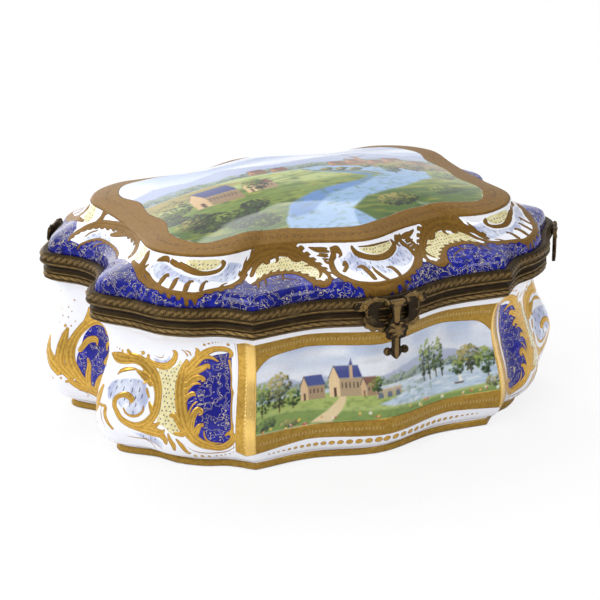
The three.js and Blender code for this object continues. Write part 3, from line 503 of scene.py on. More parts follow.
# Skirt of the lid: distance along the rim, distance up from the rim (40 at the gilt band), and brush width
LID_SCROLL = [
    straw(95, 26.3, 93.2, 30.1, 87.8, 31.5, 81.4, 30.5, 77.1, 32.3, 72.1, 33.6, 65.7, 34.3, 58.6, 31.3, 52.9, 28.8,
          46.6, 26.7, 41.4, 25.2, 39.4, 19.5, 40, 11.4, 42.4, 8.1, 45.8, 10.4, 53.2, 16.5, 59.5, 20, 67.4, 22.7,
          76.8, 23.3, 83.9, 22.7, 89.5, 20, 92.5, 20.5),
    gilt(106.1, 20.6, 4.9, 107.1, 29, 6.3, 98.4, 34.9, 7, 85, 37, 6.1, 72.1, 37.1, 5.3, 60.7, 35.4, 5.3,
         52.5, 31.8, 4.5, 45.4, 26.7, 3.9, 39.7, 20.7, 3.3, 37.2, 14.8, 2.7, 37.6, 9.7, 1.8),
    gilt(94.9, 15.4, 2.3, 88.3, 19.2, 3.1, 80.3, 22.2, 2.9, 70.8, 22.2, 2.5, 61.7, 20.7, 2.5, 54.4, 16.1, 3.1,
         48.9, 10.1, 4.1, 44.6, 5.9, 4.7, 40.1, 5.4, 3.5, 36.8, 10.4, 2.2),
    white(38.5, 19.5, 2.5, 40.5, 13, 2.7, 44.1, 9.9, 2, 47.6, 12.2, 1.2),
    gilt(53.1, 26, 0.8, 47.8, 26, 1.4, 43.4, 23.4, 1.8, 42.2, 18.3, 1.8, 43.8, 13, 0.8),
    gilt(90, 34.7, 2.9, 85.4, 32.5, 3.9, 82.8, 31.5, 1.6),
    gilt(77.2, 35.1, 2.5, 75.6, 32.6, 2.3, 76.5, 30.9, 0.8),
    gilt(65.7, 34.8, 2.9, 60.3, 32.2, 4.5, 56.3, 30.6, 2),
    gilt(91.8, 17.6, 2, 90, 12.7, 1.6, 90.4, 9.9, 0.5),
    gilt(85.7, 19.5, 1.4, 84.1, 14.8, 1.2, 84, 11.6, 0.4),
    gilt(71.8, 21.8, 1.4, 70.6, 17.4, 1.2, 71.1, 14.4, 0.4),
    gilt(49.5, 8.6, 1.6, 48.6, 4.8, 1.2, 49.4, 2.8, 0.4),
    gilt(48.3, 37.2, 0.5, 41.4, 35.9, 2, 32.5, 35, 1),
    gilt(42.2, 32.9, 0.5, 37.7, 32.5, 1.5, 33.8, 32.1, 0.7),
    gilt(38.1, 29.1, 0.5, 35.9, 28.3, 1.1, 34.2, 28.3, 0.4),
    gilt(30.9, 36.6, 1.2, 29.2, 33.5, 3.5, 32.1, 29, 3.3, 32.6, 23, 3.9, 31.1, 15.7, 4.5, 26.6, 10.7, 4.5),
    gilt(29.6, 35.9, 2.5, 25.2, 35.7, 3.3, 23.5, 33.7, 2, 25.7, 31.5, 0.7),
]

LID_MIDDLE = [
    shell(-34.9, 31.6, -29.8, 31.2, -23.9, 35, -19.3, 34.9, -15.5, 30.5, -6.4, 27.2, 5.5, 26.4, 17.2, 28.8,
          25.9, 33.6, 33.4, 33.9, 36, 30.2, 32.3, 23.5, 22.6, 16.1, 13.2, 14.8, 6.9, 18.4, 0.2, 12.2, -6.1, 14,
          -9, 20, -15.5, 17.6, -17.6, 10.4, -21.9, 14, -26.4, 18.6, -29.7, 24.8, -34.9, 24.8),
    gilt(-36.7, 14, 3.3, -32.2, 9.2, 4.3, -26.7, 5.1, 4.3, -20.6, 3.2, 4.9, -14.2, 2.1, 5.5, -6.7, 2.8, 4.9,
         0.7, 3.8, 4.1, 10.7, 5.4, 4.1, 21.6, 10.2, 4.3, 30.6, 17.1, 4.3, 37.7, 24.5, 3.7, 39.8, 30.5, 2.7,
         36.8, 34.6, 2, 29.1, 36.1, 1),
    gilt(-31.5, 24.8, 1, -29.2, 27.8, 2.2, -28.9, 24.8, 2.5, -32.4, 19, 2.2),
    gilt(-21.3, 23.1, 1.2, -17.5, 23.1, 3.3, -15.5, 17.6, 3.7, -14.2, 8.9, 2.9),
    gilt(-10.6, 22.3, 0.8, -9.8, 16.7, 2.5, -7.8, 10.2, 2.7, -5.5, 5.5, 2.3),
    gilt(0.4, 19.1, 1.2, 3.8, 17.5, 2.9, 5.3, 11.9, 2.9, 5.2, 5.2, 2.5),
    white(-33.6, 29.5, 2.2, -32.6, 22, 2, -27.7, 14.4, 2.2, -20.3, 10.1, 1.6),
    straw(-15.1, 36.3, -6.2, 36.6, 5.5, 36.3, 17.8, 35.5, 16.2, 32.8, 8.3, 31, -2.6, 31.5, -9.8, 33.5),
    gilt(-20.4, 36.5, 2.2, -18.4, 33.9, 3.3, -12.2, 31.2, 3.7, -4, 29.1, 3.9, 6, 28.7, 4.1, 15, 30.8, 3.7,
         20.5, 33.8, 3.1, 18.9, 36.1, 1.6),
    gilt(-15.1, 37, 0.4, -6.1, 36.8, 0.7, 5.8, 36.7, 0.7, 17.1, 36.4, 0.5),
    gilt(-13.7, 2.1, 3.3, -12.6, 0.7, 2, -11.8, 0.1, 0.6),
    gilt(4.4, 4, 2.3, 5.6, 1.6, 1.4, 4.8, 0.8, 0.5),
]

LID_LOBE = [
    shell(187, 27.2, 187.6, 31.9, 180.9, 35.4, 168.2, 33.2, 159.3, 30.1, 151.6, 27.2, 144.3, 25.5, 138.5, 26.3,
          130.5, 27.2, 127.7, 30.8, 127.5, 35.1, 121.4, 34.6, 112.3, 31.9, 112.5, 26.4, 113.2, 19.3, 120.8, 16.7,
          131.8, 20.5, 133.4, 15.8, 141.1, 20.9, 145, 21.6, 146.5, 17.7, 153.2, 20.8, 155.1, 17.6, 163, 22.7,
          163.1, 16.1, 170.8, 19.1),
    gilt(193.9, 27.2, 2.1, 180.8, 22.1, 2.9, 170.8, 14.8, 3.8, 159.3, 8.9, 4.5, 150.3, 6.2, 4.6, 141.3, 5.2, 4.3,
         133.4, 4.3, 4.6, 127.7, 7.3, 4.5, 120.6, 9.3, 4.3, 113.3, 12.1, 3.9, 108.1, 17.8, 3.9, 106, 24, 3.8,
         104.9, 29.1, 3.8, 99.5, 31.3, 2.6),
    gilt(162.7, 12.2, 2.6, 165.2, 21.2, 3.4, 165.7, 25.7, 2.9, 162.8, 24.3, 0.9),
    gilt(151.7, 10.3, 2.6, 154.3, 18.7, 2.9, 155.6, 23.8, 1.7, 153.5, 23.6, 0.5),
    gilt(141.3, 8.3, 2.6, 144.8, 17.5, 2.9, 144.7, 21.7, 1.9, 142.3, 20.1, 0.5),
    gilt(131.8, 10.1, 2.4, 134.8, 17.6, 2.2, 135, 21.5, 1.4, 132.7, 19.8, 0.4),
    gilt(119.9, 11.4, 2.1, 119, 14.8, 1.7, 117, 16, 0.9),
    white(184.7, 28.8, 1.2, 174.8, 21.8, 1.5, 163.4, 14.9, 1.7, 156.3, 11.8, 1),
    gilt(193, 30.5, 2.6, 192.1, 27.5, 2.4, 187.8, 25.6, 1),
    gilt(186, 35.6, 1.7, 181, 36.6, 2.6, 173.1, 36.6, 1.9, 171.6, 35.4, 0.7),
    straw(157.9, 37.1, 152.5, 37.8, 144.5, 37.7, 137.6, 37.7, 133, 36.4, 133.9, 34, 137.6, 31.9, 142.8, 31.5,
          149.6, 32.6, 154.8, 34.6),
    gilt(160.9, 35.4, 1.9, 156, 33.4, 3.3, 148.7, 30.8, 3.6, 142.3, 29, 3.4, 136.2, 29.4, 3.4, 131.4, 31.2, 3.1,
         130.2, 34.3, 2.6, 132.7, 36.6, 1.2),
    gilt(169.5, 36.2, 2.2, 163, 34.6, 2.6, 157.7, 33, 1.7),
    gilt(133.2, 3.2, 2.9, 130.5, 1.3, 1.9, 130.6, 0.6, 0.5),
    gilt(171.3, 6.5, 0.9, 166.3, 6.8, 2.2, 157.9, 6.6, 2.6),
    straw(217.2, 40, 211.2, 39.6, 207.6, 37, 207.1, 32.5, 218.3, 29.4, 219.5, 35),
    gilt(232.7, 40, 3.4, 230.5, 39.5, 4.3, 229.3, 36.1, 3.8, 226.6, 32.5, 2.6, 224.6, 27.6, 1.7),
    gilt(205.6, 37, 2.9, 202, 33.8, 4.3, 199.1, 30.1, 4.8, 190.4, 23.3, 4.3, 178.2, 14.3, 3.9, 167.3, 8.3, 3.4),
    gilt(212.2, 29.1, 2.1, 202.5, 27.9, 3.4, 191.5, 23.1, 3.4),
]

LID_SIDE = [
    shell(280.5, 10.4, 280, 17, 275.5, 24.8, 266.5, 27.6, 257.8, 24.4, 247.9, 24.7, 245.6, 32.4, 238.3, 35.6,
          230.8, 34.6, 224.9, 31.3, 224.4, 26.3, 233.5, 19.5, 243.3, 19.8, 251.2, 19.6, 261.2, 19.9, 269.1, 19.1,
          274.7, 13.9, 278.2, 9.7),
    gilt(288.5, 5.9, 1.2, 290.5, 13.5, 3, 290.4, 20.4, 4.1, 287.6, 26.1, 4.7, 280.8, 30.9, 4.7, 267.7, 34.6, 4,
         255.2, 37.3, 4, 243.8, 38.6, 4.6, 234.1, 38.2, 3.8, 226.4, 35.9, 3.2, 222, 31.5, 2.6, 221.6, 26.1, 1.4),
    gilt(278.6, 1.8, 1.2, 277.1, 6.1, 2, 274, 12.7, 2.4, 268.7, 18.6, 2.6, 261, 19.6, 2.7, 251.4, 19.3, 2.7,
         241.5, 18.6, 2.3, 235.3, 15.3, 1.1),
    gilt(262.3, 28.8, 2.7, 257.8, 31.8, 3.8, 252, 35.2, 3.5, 244.4, 37.5, 1.8),
    gilt(280.9, 15.7, 1.1, 280.5, 21.9, 1.5, 276.7, 26.3, 1.1),
    gilt(266.5, 3.8, 0.6, 266.9, 8.9, 1.2, 264.8, 14, 1.4, 259.6, 17.6, 0.8),
]


# ---------------------------------------------------------------- materials
def linear(r, g, b):
    """A colour as it looks on screen, 0 to 255, as linear light."""
    return tuple((c / 255 / 12.92) if c <= 10 else ((c / 255 + 0.055) / 1.055) ** 2.4 for c in (r, g, b)) + (1.0,)


class Nodes:
    """A short way to write a node tree."""

    def __init__(self, owner, shader="Principled BSDF"):
        owner.use_nodes = True
        self.owner, self.tree = owner, owner.node_tree
        self.shader = self.tree.nodes[shader]

    def plug(self, socket, value):
        if isinstance(value, bpy.types.NodeSocket):
            self.tree.links.new(value, socket)
        elif value is not None:
            socket.default_value = value

    def node(self, kind, *values, get=0, named=(), **settings):
        """A new node, its inputs filled in order or by name; gives one of its outputs."""
        node = self.tree.nodes.new(kind)
        for key, value in settings.items():
            setattr(node, key, value)
        for socket, value in zip(node.inputs, values):
            self.plug(socket, value)
        for key, value in dict(named).items():
            self.plug(node.inputs[key], value)
        return node.outputs[get]

    def set(self, **values):
        for key, value in values.items():
            self.plug(self.shader.inputs[key.replace("_", " ")], value)

    def attribute(self, name, get="Fac"):
        return self.node("ShaderNodeAttribute", get=get, attribute_name=name)

    def math(self, operation, *values):
        return self.node("ShaderNodeMath", *values, operation=operation)

    def step(self, value, low, high, to_low=0.0, to_high=1.0):
        return self.node("ShaderNodeMapRange", value, low, high, to_low, to_high, interpolation_type="SMOOTHSTEP")

    def mix(self, factor, a, b, blend="MIX"):
        named = {"Factor": factor, "A": a, "B": b}
        return self.node("ShaderNodeMix", named=named, get="Result", data_type="RGBA", blend_type=blend)

    def where(self):
        return self.node("ShaderNodeTexCoord", get="Object")

    def noise(self, scale, detail=2.0, roughness=0.5, stretch=None, distortion=0.0, vector=None, get="Fac"):
        vector = self.where() if vector is None else vector
        if stretch:
            vector = self.node("ShaderNodeMapping", named={"Vector": vector, "Scale": stretch})
        named = {"Vector": vector, "Scale": scale, "Detail": detail, "Roughness": roughness, "Distortion": distortion}
        return self.node("ShaderNodeTexNoise", named=named, get=get)

    def bump(self, height, strength, distance):
        return self.node("ShaderNodeBump", named={"Height": height, "Strength": strength, "Distance": distance})


# Vermicelli on cobalt: two level lines of one noise, on a place that a finer noise shifts by up to this many metres
VERMICELLI_SCALE, CURL_SCALE, CURL = 175.0, 480.0, 0.0036
MATT = (0.62, 0.62, 0.62, 1)


def porcelain(name, gilding, tooling, cobalts, gold_metal, gold_rough):
    """Glazed white porcelain with cobalt, yellow and grey-blue grounds, a painted picture and raised gilding."""
    n = Nodes(bpy.data.materials.new(name))
    gold_light, gold_deep, gold_edge = (linear(*tone) for tone in gilding)
    cobalt_light, cobalt_deep = (linear(*tone) for tone in cobalts)
    base = n.mix(n.noise(60, 3), linear(236, 238, 247), linear(247, 248, 253))
    cloud = n.noise(260, 4, 0.6, distortion=0.4)
    wisp = n.noise(150, 3, 0.55, stretch=(1, 1, 0.35))
    grey = n.mix(n.step(wisp, 0.35, 0.65), linear(176, 184, 214), linear(222, 228, 243))
    base = n.mix(n.step(n.attribute("grey"), -0.3, 0.9), base, grey)
    yellow = n.mix(n.step(cloud, 0.3, 0.7), linear(216, 205, 146), linear(232, 223, 178))
    base = n.mix(n.step(n.attribute("yellow"), -0.2, 0.25), base, yellow)
    cobalt = n.mix(n.step(cloud, 0.28, 0.72), cobalt_deep, cobalt_light)
    cobalt = n.mix(n.step(n.noise(45, 2), 0.35, 0.7), cobalt, cobalt_deep)
    on_cobalt = n.step(n.attribute("cobalt"), -0.15, 0.15)
    base = n.mix(on_cobalt, base, cobalt)
    base = n.mix(n.step(n.attribute("dark"), -0.3, 0.15), base, linear(70, 72, 96))

    fleck = n.step(n.noise(520, 3, 0.6, stretch=(1, 1, 3)), 0.3, 0.7)
    fleck = n.mix(fleck, linear(243, 243, 243), linear(255, 255, 255))
    painted = n.mix(1.0, n.attribute("picture", "Color"), fleck, "MULTIPLY")
    base = n.mix(n.step(n.attribute("picture", "Alpha"), 0.35, 0.65), base, painted)

    curl = n.noise(CURL_SCALE, 0.0, get="Color")
    curled = n.node("ShaderNodeVectorMath", curl, (CURL, CURL, CURL), n.where(), operation="MULTIPLY_ADD")
    level = n.math("ABSOLUTE", n.math("SUBTRACT", n.noise(VERMICELLI_SCALE, 0.0, vector=curled), 0.5))
    level = n.math("ABSOLUTE", n.math("SUBTRACT", level, 0.06))
    line = n.step(level, 0.0085, 0.019, 1.0, 0.0)
    line = n.math("MULTIPLY", line, n.step(n.attribute("cobalt"), 0.5, 0.8))
    line = n.math("MULTIPLY", line, n.step(n.attribute("gold"), -0.9, -0.6, 1.0, 0.0))

    edge = n.math("ADD", n.attribute("gold"), n.math("MULTIPLY", n.math("SUBTRACT", cloud, 0.5), 0.4))
    gold = n.step(edge, -0.14, 0.1)
    vein = n.math("SINE", n.math("MULTIPLY", n.attribute("across"), 8.5))
    vein = n.math("MULTIPLY_ADD", vein, 0.5, 0.5)
    worn = n.math("MULTIPLY_ADD", n.noise(420, 4, 0.65), 0.75, n.math("MULTIPLY", vein, 0.25))
    gilding = n.mix(n.step(worn, 0.22, 0.72), gold_deep, gold_light)
    gilding = n.mix(n.step(n.attribute("gold"), 0.0, 0.42, 0.75, 0.0), gilding, gold_edge)
    tool = n.step(n.attribute("tool"), -0.2, 0.2)
    gilding = n.mix(n.math("MULTIPLY", tool, 0.85), gilding, linear(*tooling))
    gilding = n.mix(n.step(n.attribute("matt"), -0.2, 0.4), gilding, n.mix(1.0, gilding, MATT, "MULTIPLY"))
    # Along the arris the gilding is less rough, as burnished gold, and is lightened towards this pale gold as a painted
    # highlight.
    burnish_and_highlight = n.step(n.attribute("burnish_and_highlight"), -0.4, 1.4)
    gilding = n.mix(n.math("MULTIPLY", burnish_and_highlight, 0.85), gilding, linear(250, 210, 124))
    all_gold = n.math("MAXIMUM", gold, n.step(n.attribute("line"), -0.2, 0.15))
    base = n.mix(all_gold, base, gilding)
    base = n.mix(n.math("MULTIPLY", line, 0.9), base, linear(188, 178, 152))

    rough = n.math("MULTIPLY_ADD", n.noise(500, 3), 0.14, gold_rough - 0.07)
    rough = n.math("SUBTRACT", rough, n.math("MULTIPLY", burnish_and_highlight, 0.06))
    relief = n.math("MULTIPLY", n.math("MULTIPLY", vein, gold), 0.16)
    relief = n.math("ADD", n.step(n.attribute("gold"), -0.35, 0.8), relief)
    for height, amount in ((line, 0.18), (tool, 0.45), (n.math("MULTIPLY", n.noise(1400, 2), gold), 0.08)):
        relief = n.math("ADD", relief, n.math("MULTIPLY", height, amount))
    n.set(Base_Color=base, Metallic=n.math("MULTIPLY", all_gold, gold_metal), IOR=1.52,
          Roughness=n.math("MULTIPLY_ADD", all_gold, rough, 0.07), Normal=n.bump(relief, 0.5, 0.0006),
          Specular_IOR_Level=n.math("MULTIPLY_ADD", n.math("MAXIMUM", on_cobalt, all_gold), -0.28, 0.5))
    return n.owner


def cast_metal(name, light, deep, scale=1.0, rough=0.34):
    """Aged gilt cast metal: worn bright on the high points and dark in the hollows."""
    n = Nodes(bpy.data.materials.new(name))
    grain = n.noise(1100 * scale, 4, 0.65)
    patch = n.noise(90 * scale, 3, 0.6)
    high = n.step(n.attribute("relief"), -0.5, 0.75)
    worn = n.math("ADD", n.math("MULTIPLY", high, 0.8), n.math("MULTIPLY", n.math("ADD", grain, patch), 0.22))
    colour = n.mix(n.step(worn, 0.35, 0.95), linear(*deep), linear(*light))
    colour = n.mix(n.step(patch, 0.5, 0.72, 0.0, 0.8), colour, linear(92, 76, 50))
    # Painted shade: where the collars meet, the parting groove gets this dark, less metallic colour in place of the
    # shadow in the gap.
    colour = n.mix(n.step(n.attribute("relief"), -1.1, -0.7, 1.0, 0.0), colour, linear(56, 42, 24))
    rough_at = n.math("SUBTRACT", grain, n.math("MULTIPLY", high, 0.6))
    n.set(Base_Color=colour, Metallic=n.step(n.attribute("relief"), -1.1, -0.5, 0.2, 0.92),
          Roughness=n.math("MULTIPLY_ADD", rough_at, 0.3, rough + 0.12),
          Normal=n.bump(n.math("ADD", grain, n.math("MULTIPLY", patch, 0.6)), 0.3, 0.0003))
    return n.owner


body_glaze = porcelain("porcelain_body_glaze", [(222, 180, 86), (176, 132, 56), (142, 96, 36)], (240, 212, 146),
                       [(50, 52, 176), (26, 28, 124)], 0.85, 0.24)
lid_glaze = porcelain("porcelain_lid_glaze", [(134, 98, 36), (106, 76, 28), (80, 55, 22)], (66, 45, 20),
                      [(26, 38, 166), (14, 18, 104)], 0.4, 0.42)
collar_metal = cast_metal("collar_aged_gilt", (128, 104, 64), (58, 46, 28))
ornament_metal = cast_metal("ornament_aged_gilt", (124, 100, 62), (44, 35, 22), 1.4)
pin_metal = cast_metal("pin_brass", (206, 174, 106), (120, 92, 48), 2.0, 0.26)
for node, obj in frame["nodes"].items():
    if "rivet" in node or "pin" in node or "stud" in node:
        finish = pin_metal
    elif "escutcheon" in node or "hasp" in node:
        finish = ornament_metal
    else:
        finish = collar_metal
    obj.data.materials.clear()
    obj.data.materials.append(finish)
    for face in obj.data.polygons:
        face.use_smooth = False


# ---------------------------------------------------------------- painting pictures of my own
class Canvas(Field):
    """Colour washes on chart points, as a painter lays them: far things first."""

    def __init__(self, x, y, seed):
        super().__init__(x, y)
        self.rgb = np.ones((len(x), 3))
        self.random = np.random.default_rng(seed)

    def grain(self, size, stretch=1.0):
        """Smooth seeded noise from 0 to 1 with features of about this size in mm."""
        gx, gy = self.x / size, self.y / size * stretch
        gx, gy = gx - gx.min(), gy - gy.min()
        table = self.random.random((int(gx.max()) + 3, int(gy.max()) + 3))
        i, j = gx.astype(int), gy.astype(int)
        a, b = gx - i, gy - j
        a, b = a * a * (3 - 2 * a), b * b * (3 - 2 * b)
        low = table[i, j] * (1 - a) + table[i + 1, j] * a
        high = table[i, j + 1] * (1 - a) + table[i + 1, j + 1] * a
        return low * (1 - b) + high * b

    def lay(self, amount, colour, index=slice(None)):
        amount = np.clip(amount, 0, 1)[:, None]
        self.rgb[index] = self.rgb[index] * (1 - amount) + np.array(linear(*colour)[:3]) * amount

    def mottle(self, size, stretch, gain, less, strength, colour, inside=1.0):
        """A broken wash of one colour."""
        self.lay(inside * strength * np.clip(gain * self.grain(size, stretch) - less, 0, 1), colour)

    def below(self, points, colour, soft=0.8, strength=1.0, rough=0.0):
        """Everything under a line of hills or a bank."""
        line = np.interp(self.x, *np.array(points, float).T) + rough * (self.grain(2.4) - 0.5)
        self.lay(strength * np.clip((line - self.y) / soft + 0.5, 0, 1), colour)

    def shape(self, points, colour, soft=0.5, strength=1.0):
        p = np.array(points, float)
        near = self.near(p, 1)
        depth = depth_inside(self.x[near], self.y[near], p)
        self.lay(strength * np.clip(depth / soft + 0.5, 0, 1), colour, near)

    def block(self, x, y, width, height, colour, soft=0.5):
        self.shape([(x, y), (x + width, y), (x + width, y + height), (x, y + height)], colour, soft)

    def line(self, points, width, colour):
        p = np.array(points, float)
        far = np.full(len(self.x), 9.0)
        for a, b in zip(p[:-1], p[1:]):
            far = np.minimum(far, np.hypot(*from_line(self.x, self.y, a, b)[1:]))
        self.lay((width / 2 - far) / 0.5 + 0.5, colour)

    def tree(self, x, y, width, height, tones, count=None, trunk=True):
        """A crown of leaf dabs, darker below and lit from the upper left."""
        if trunk:
            foot = y - height * .62
            self.shape([(x - .5, foot), (x + .6, foot), (x + .35, y), (x - .3, y)], (92, 72, 50), strength=0.9)
        for k in range(count or int(width * height * 0.55)):
            a, r = self.random.uniform(0, 2 * math.pi), math.sqrt(self.random.random())
            dx, dy = math.cos(a) * r * width / 2, math.sin(a) * r * height / 2
            light = np.clip(0.5 + dy / height - dx / width * 0.6 + self.random.normal(0, 0.22), 0, 0.999)
            size = self.random.uniform(0.7, 1.7)
            near = np.nonzero((np.abs(self.x - x - dx) < size) & (np.abs(self.y - y - dy) < size))[0]
            r = np.hypot(self.x[near] - x - dx, (self.y[near] - y - dy) * 1.2) / size
            self.lay(np.clip(1.4 - r * 1.4, 0, 0.85), tones[int(light * len(tones))], near)

    def house(self, x, y, width, height, roof, wall=(222, 196, 160), tiles=(92, 104, 158)):
        """A plain country house with its gable to the left."""
        gable, eaves = width * 0.32, y + height
        ridge, corner = eaves + roof, x + gable
        self.shape([(x, y), (corner, y), (corner, eaves), (x + gable / 2, ridge), (x, eaves)], wall)
        self.block(corner, y, width - gable, height, tuple(int(v * 0.8) for v in wall))
        self.shape([(x + gable / 2, ridge), (x + width - gable * .3, ridge), (x + width + .6, eaves),
                    (corner, eaves)], tiles)
        self.line([(x - .3, eaves), (x + gable / 2, ridge), (corner + .1, eaves)], 0.5, (84, 76, 92))
        for k in range(int((width - gable) / 2.6)):
            self.block(corner + 1.2 + k * 2.6, y + height * .45, .9, height * .3, (104, 84, 84), 0.4)
        self.block(x + gable * .4, y, gable * .26, height * .5, (110, 84, 72), 0.4)


LEAF = [(46, 66, 44), (66, 92, 52), (92, 118, 62), (128, 148, 78), (168, 180, 100)]
OAK = [(54, 62, 46), (84, 92, 60), (120, 124, 78), (150, 148, 92), (190, 178, 116)]
FAR_TREE = [(96, 116, 112), (118, 138, 124), (142, 158, 138), (168, 180, 156)]
DARK_TREE = [(38, 58, 30), (58, 84, 40), (86, 108, 50), (28, 42, 26)]
BLOSSOM = [(196, 96, 84), (232, 204, 96), (236, 232, 224)]
# Power that deepens a finished picture's tones
PANEL_TONE, DOME_TONE = 1.2, 1.45


def river_meadow(c):
    """Front and back panels: a farm and a chapel on the left, an arched bridge, a lake with poplars on the right."""
    c.lay(np.ones(len(c.x)), (222, 228, 238))
    c.lay((c.y - 58) / 22, (190, 204, 228))
    c.mottle(16, 2.2, 1.6, 0.55, 0.7, (246, 246, 248))
    c.mottle(9, 2.5, 1.8, 0.9, 0.4, (206, 204, 214))
    c.below([(-95, 60), (-74, 63), (-58, 57), (-30, 59), (-6, 55), (20, 60), (44, 64), (66, 59), (95, 57)],
            (176, 184, 208), 1.6, 0.8, 1)
    c.below([(-95, 55), (-60, 56), (-36, 52), (0, 53), (28, 56), (52, 53), (95, 56)], (160, 172, 178), 1.2, 0.8, 1.4)
    for k, x in enumerate(np.arange(-92, 95, 5.5)):
        c.tree(x, 52.5 + 1.2 * math.sin(k * 2.1), 7.5, 5.5, FAR_TREE, trunk=False)
    c.below([(-95, 50), (95, 50)], (204, 208, 168), 1)
    c.below([(8, 49.5), (30, 50), (95, 50.5)], (196, 212, 226))
    c.mottle(6, 5, 1.5, 0.4, 0.75, (232, 238, 242), (c.x > 2) & (c.y < 50))
    c.mottle(5, 6, 1.6, 0.7, 0.5, (140, 168, 204), (c.x > 2) & (c.y < 46))
    c.shape([(-95, 29), (-95, 47), (-70, 48.5), (-30, 47.5), (4, 46.5), (14, 44), (6, 41), (-6, 38.5), (4, 36),
             (26, 34), (52, 33), (95, 35.5), (95, 28)], (178, 192, 122), 1.2)
    c.shape([(-95, 29), (-95, 40), (-60, 39), (-30, 36), (0, 34.5), (30, 32), (95, 32), (95, 28)], (136, 160, 84), 1.8)
    c.mottle(3, 2, 1.8, 0.8, 0.5, (104, 128, 66), (c.y < 47) & (c.x < 40))
    c.shape([(-52, 30), (-40, 37), (-34, 42), (-31, 45.5), (-27, 45.5), (-28, 41), (-31, 36), (-38, 29)],
            (226, 208, 170), 1)
    c.house(-58, 44.5, 17, 8.5, 6.5)
    c.house(-38, 45, 22, 11.5, 8, (232, 208, 170), (84, 94, 152))
    c.shape([(-24, 56), (-21.8, 56), (-21.8, 65), (-22.9, 68), (-24, 65)], (206, 180, 150))
    c.shape([(-24.3, 64.5), (-21.5, 64.5), (-22.9, 69.5)], (88, 92, 148))
    c.house(-17, 44.5, 12, 7, 5, (214, 186, 150), (146, 110, 96))
    for x in (-4, 2.5, 9):
        c.block(x - 3, 42.5, 6, 4.8, (196, 180, 156), 0.6)
        c.shape([(x - 2, 42), (x + 2, 42), (x + 1.6, 45), (x, 46), (x - 1.6, 45)], (116, 128, 140), 0.6)
    c.line([(-7.5, 47.6), (12, 47.6)], 0.9, (216, 204, 182))
    c.tree(-74, 54, 19, 22, OAK)
    for x, y, width, height in ((-87, 51, 14, 19), (-64, 48, 11, 11), (-6, 51, 9, 10), (34, 57.5, 5, 21),
                                (39.5, 59.5, 5, 25), (45, 57, 5, 20), (50, 58.5, 5, 23)):
        c.tree(x, y, width, height, LEAF)
    c.tree(72, 53, 18, 17, OAK)
    c.tree(84, 50, 15, 17, LEAF)
    c.tree(62, 48, 12, 9, LEAF)
    c.tree(88, 36, 14, 8, OAK, trunk=False)
    c.tree(-86, 35, 18, 9, LEAF, trunk=False)
    c.tree(-66, 32, 14, 5, OAK, trunk=False)
    c.shape([(58, 38.5), (66, 38.2), (65, 37.2), (59, 37.2)], (110, 86, 70))
    c.shape([(62, 38.5), (62.3, 43.5), (65.2, 39)], (246, 242, 232))
    for k in range(26):
        x, y = c.random.uniform(-90, 90), c.random.uniform(29.5, 34)
        c.tree(x, y, 1.4, 1.2, BLOSSOM, 2, False)


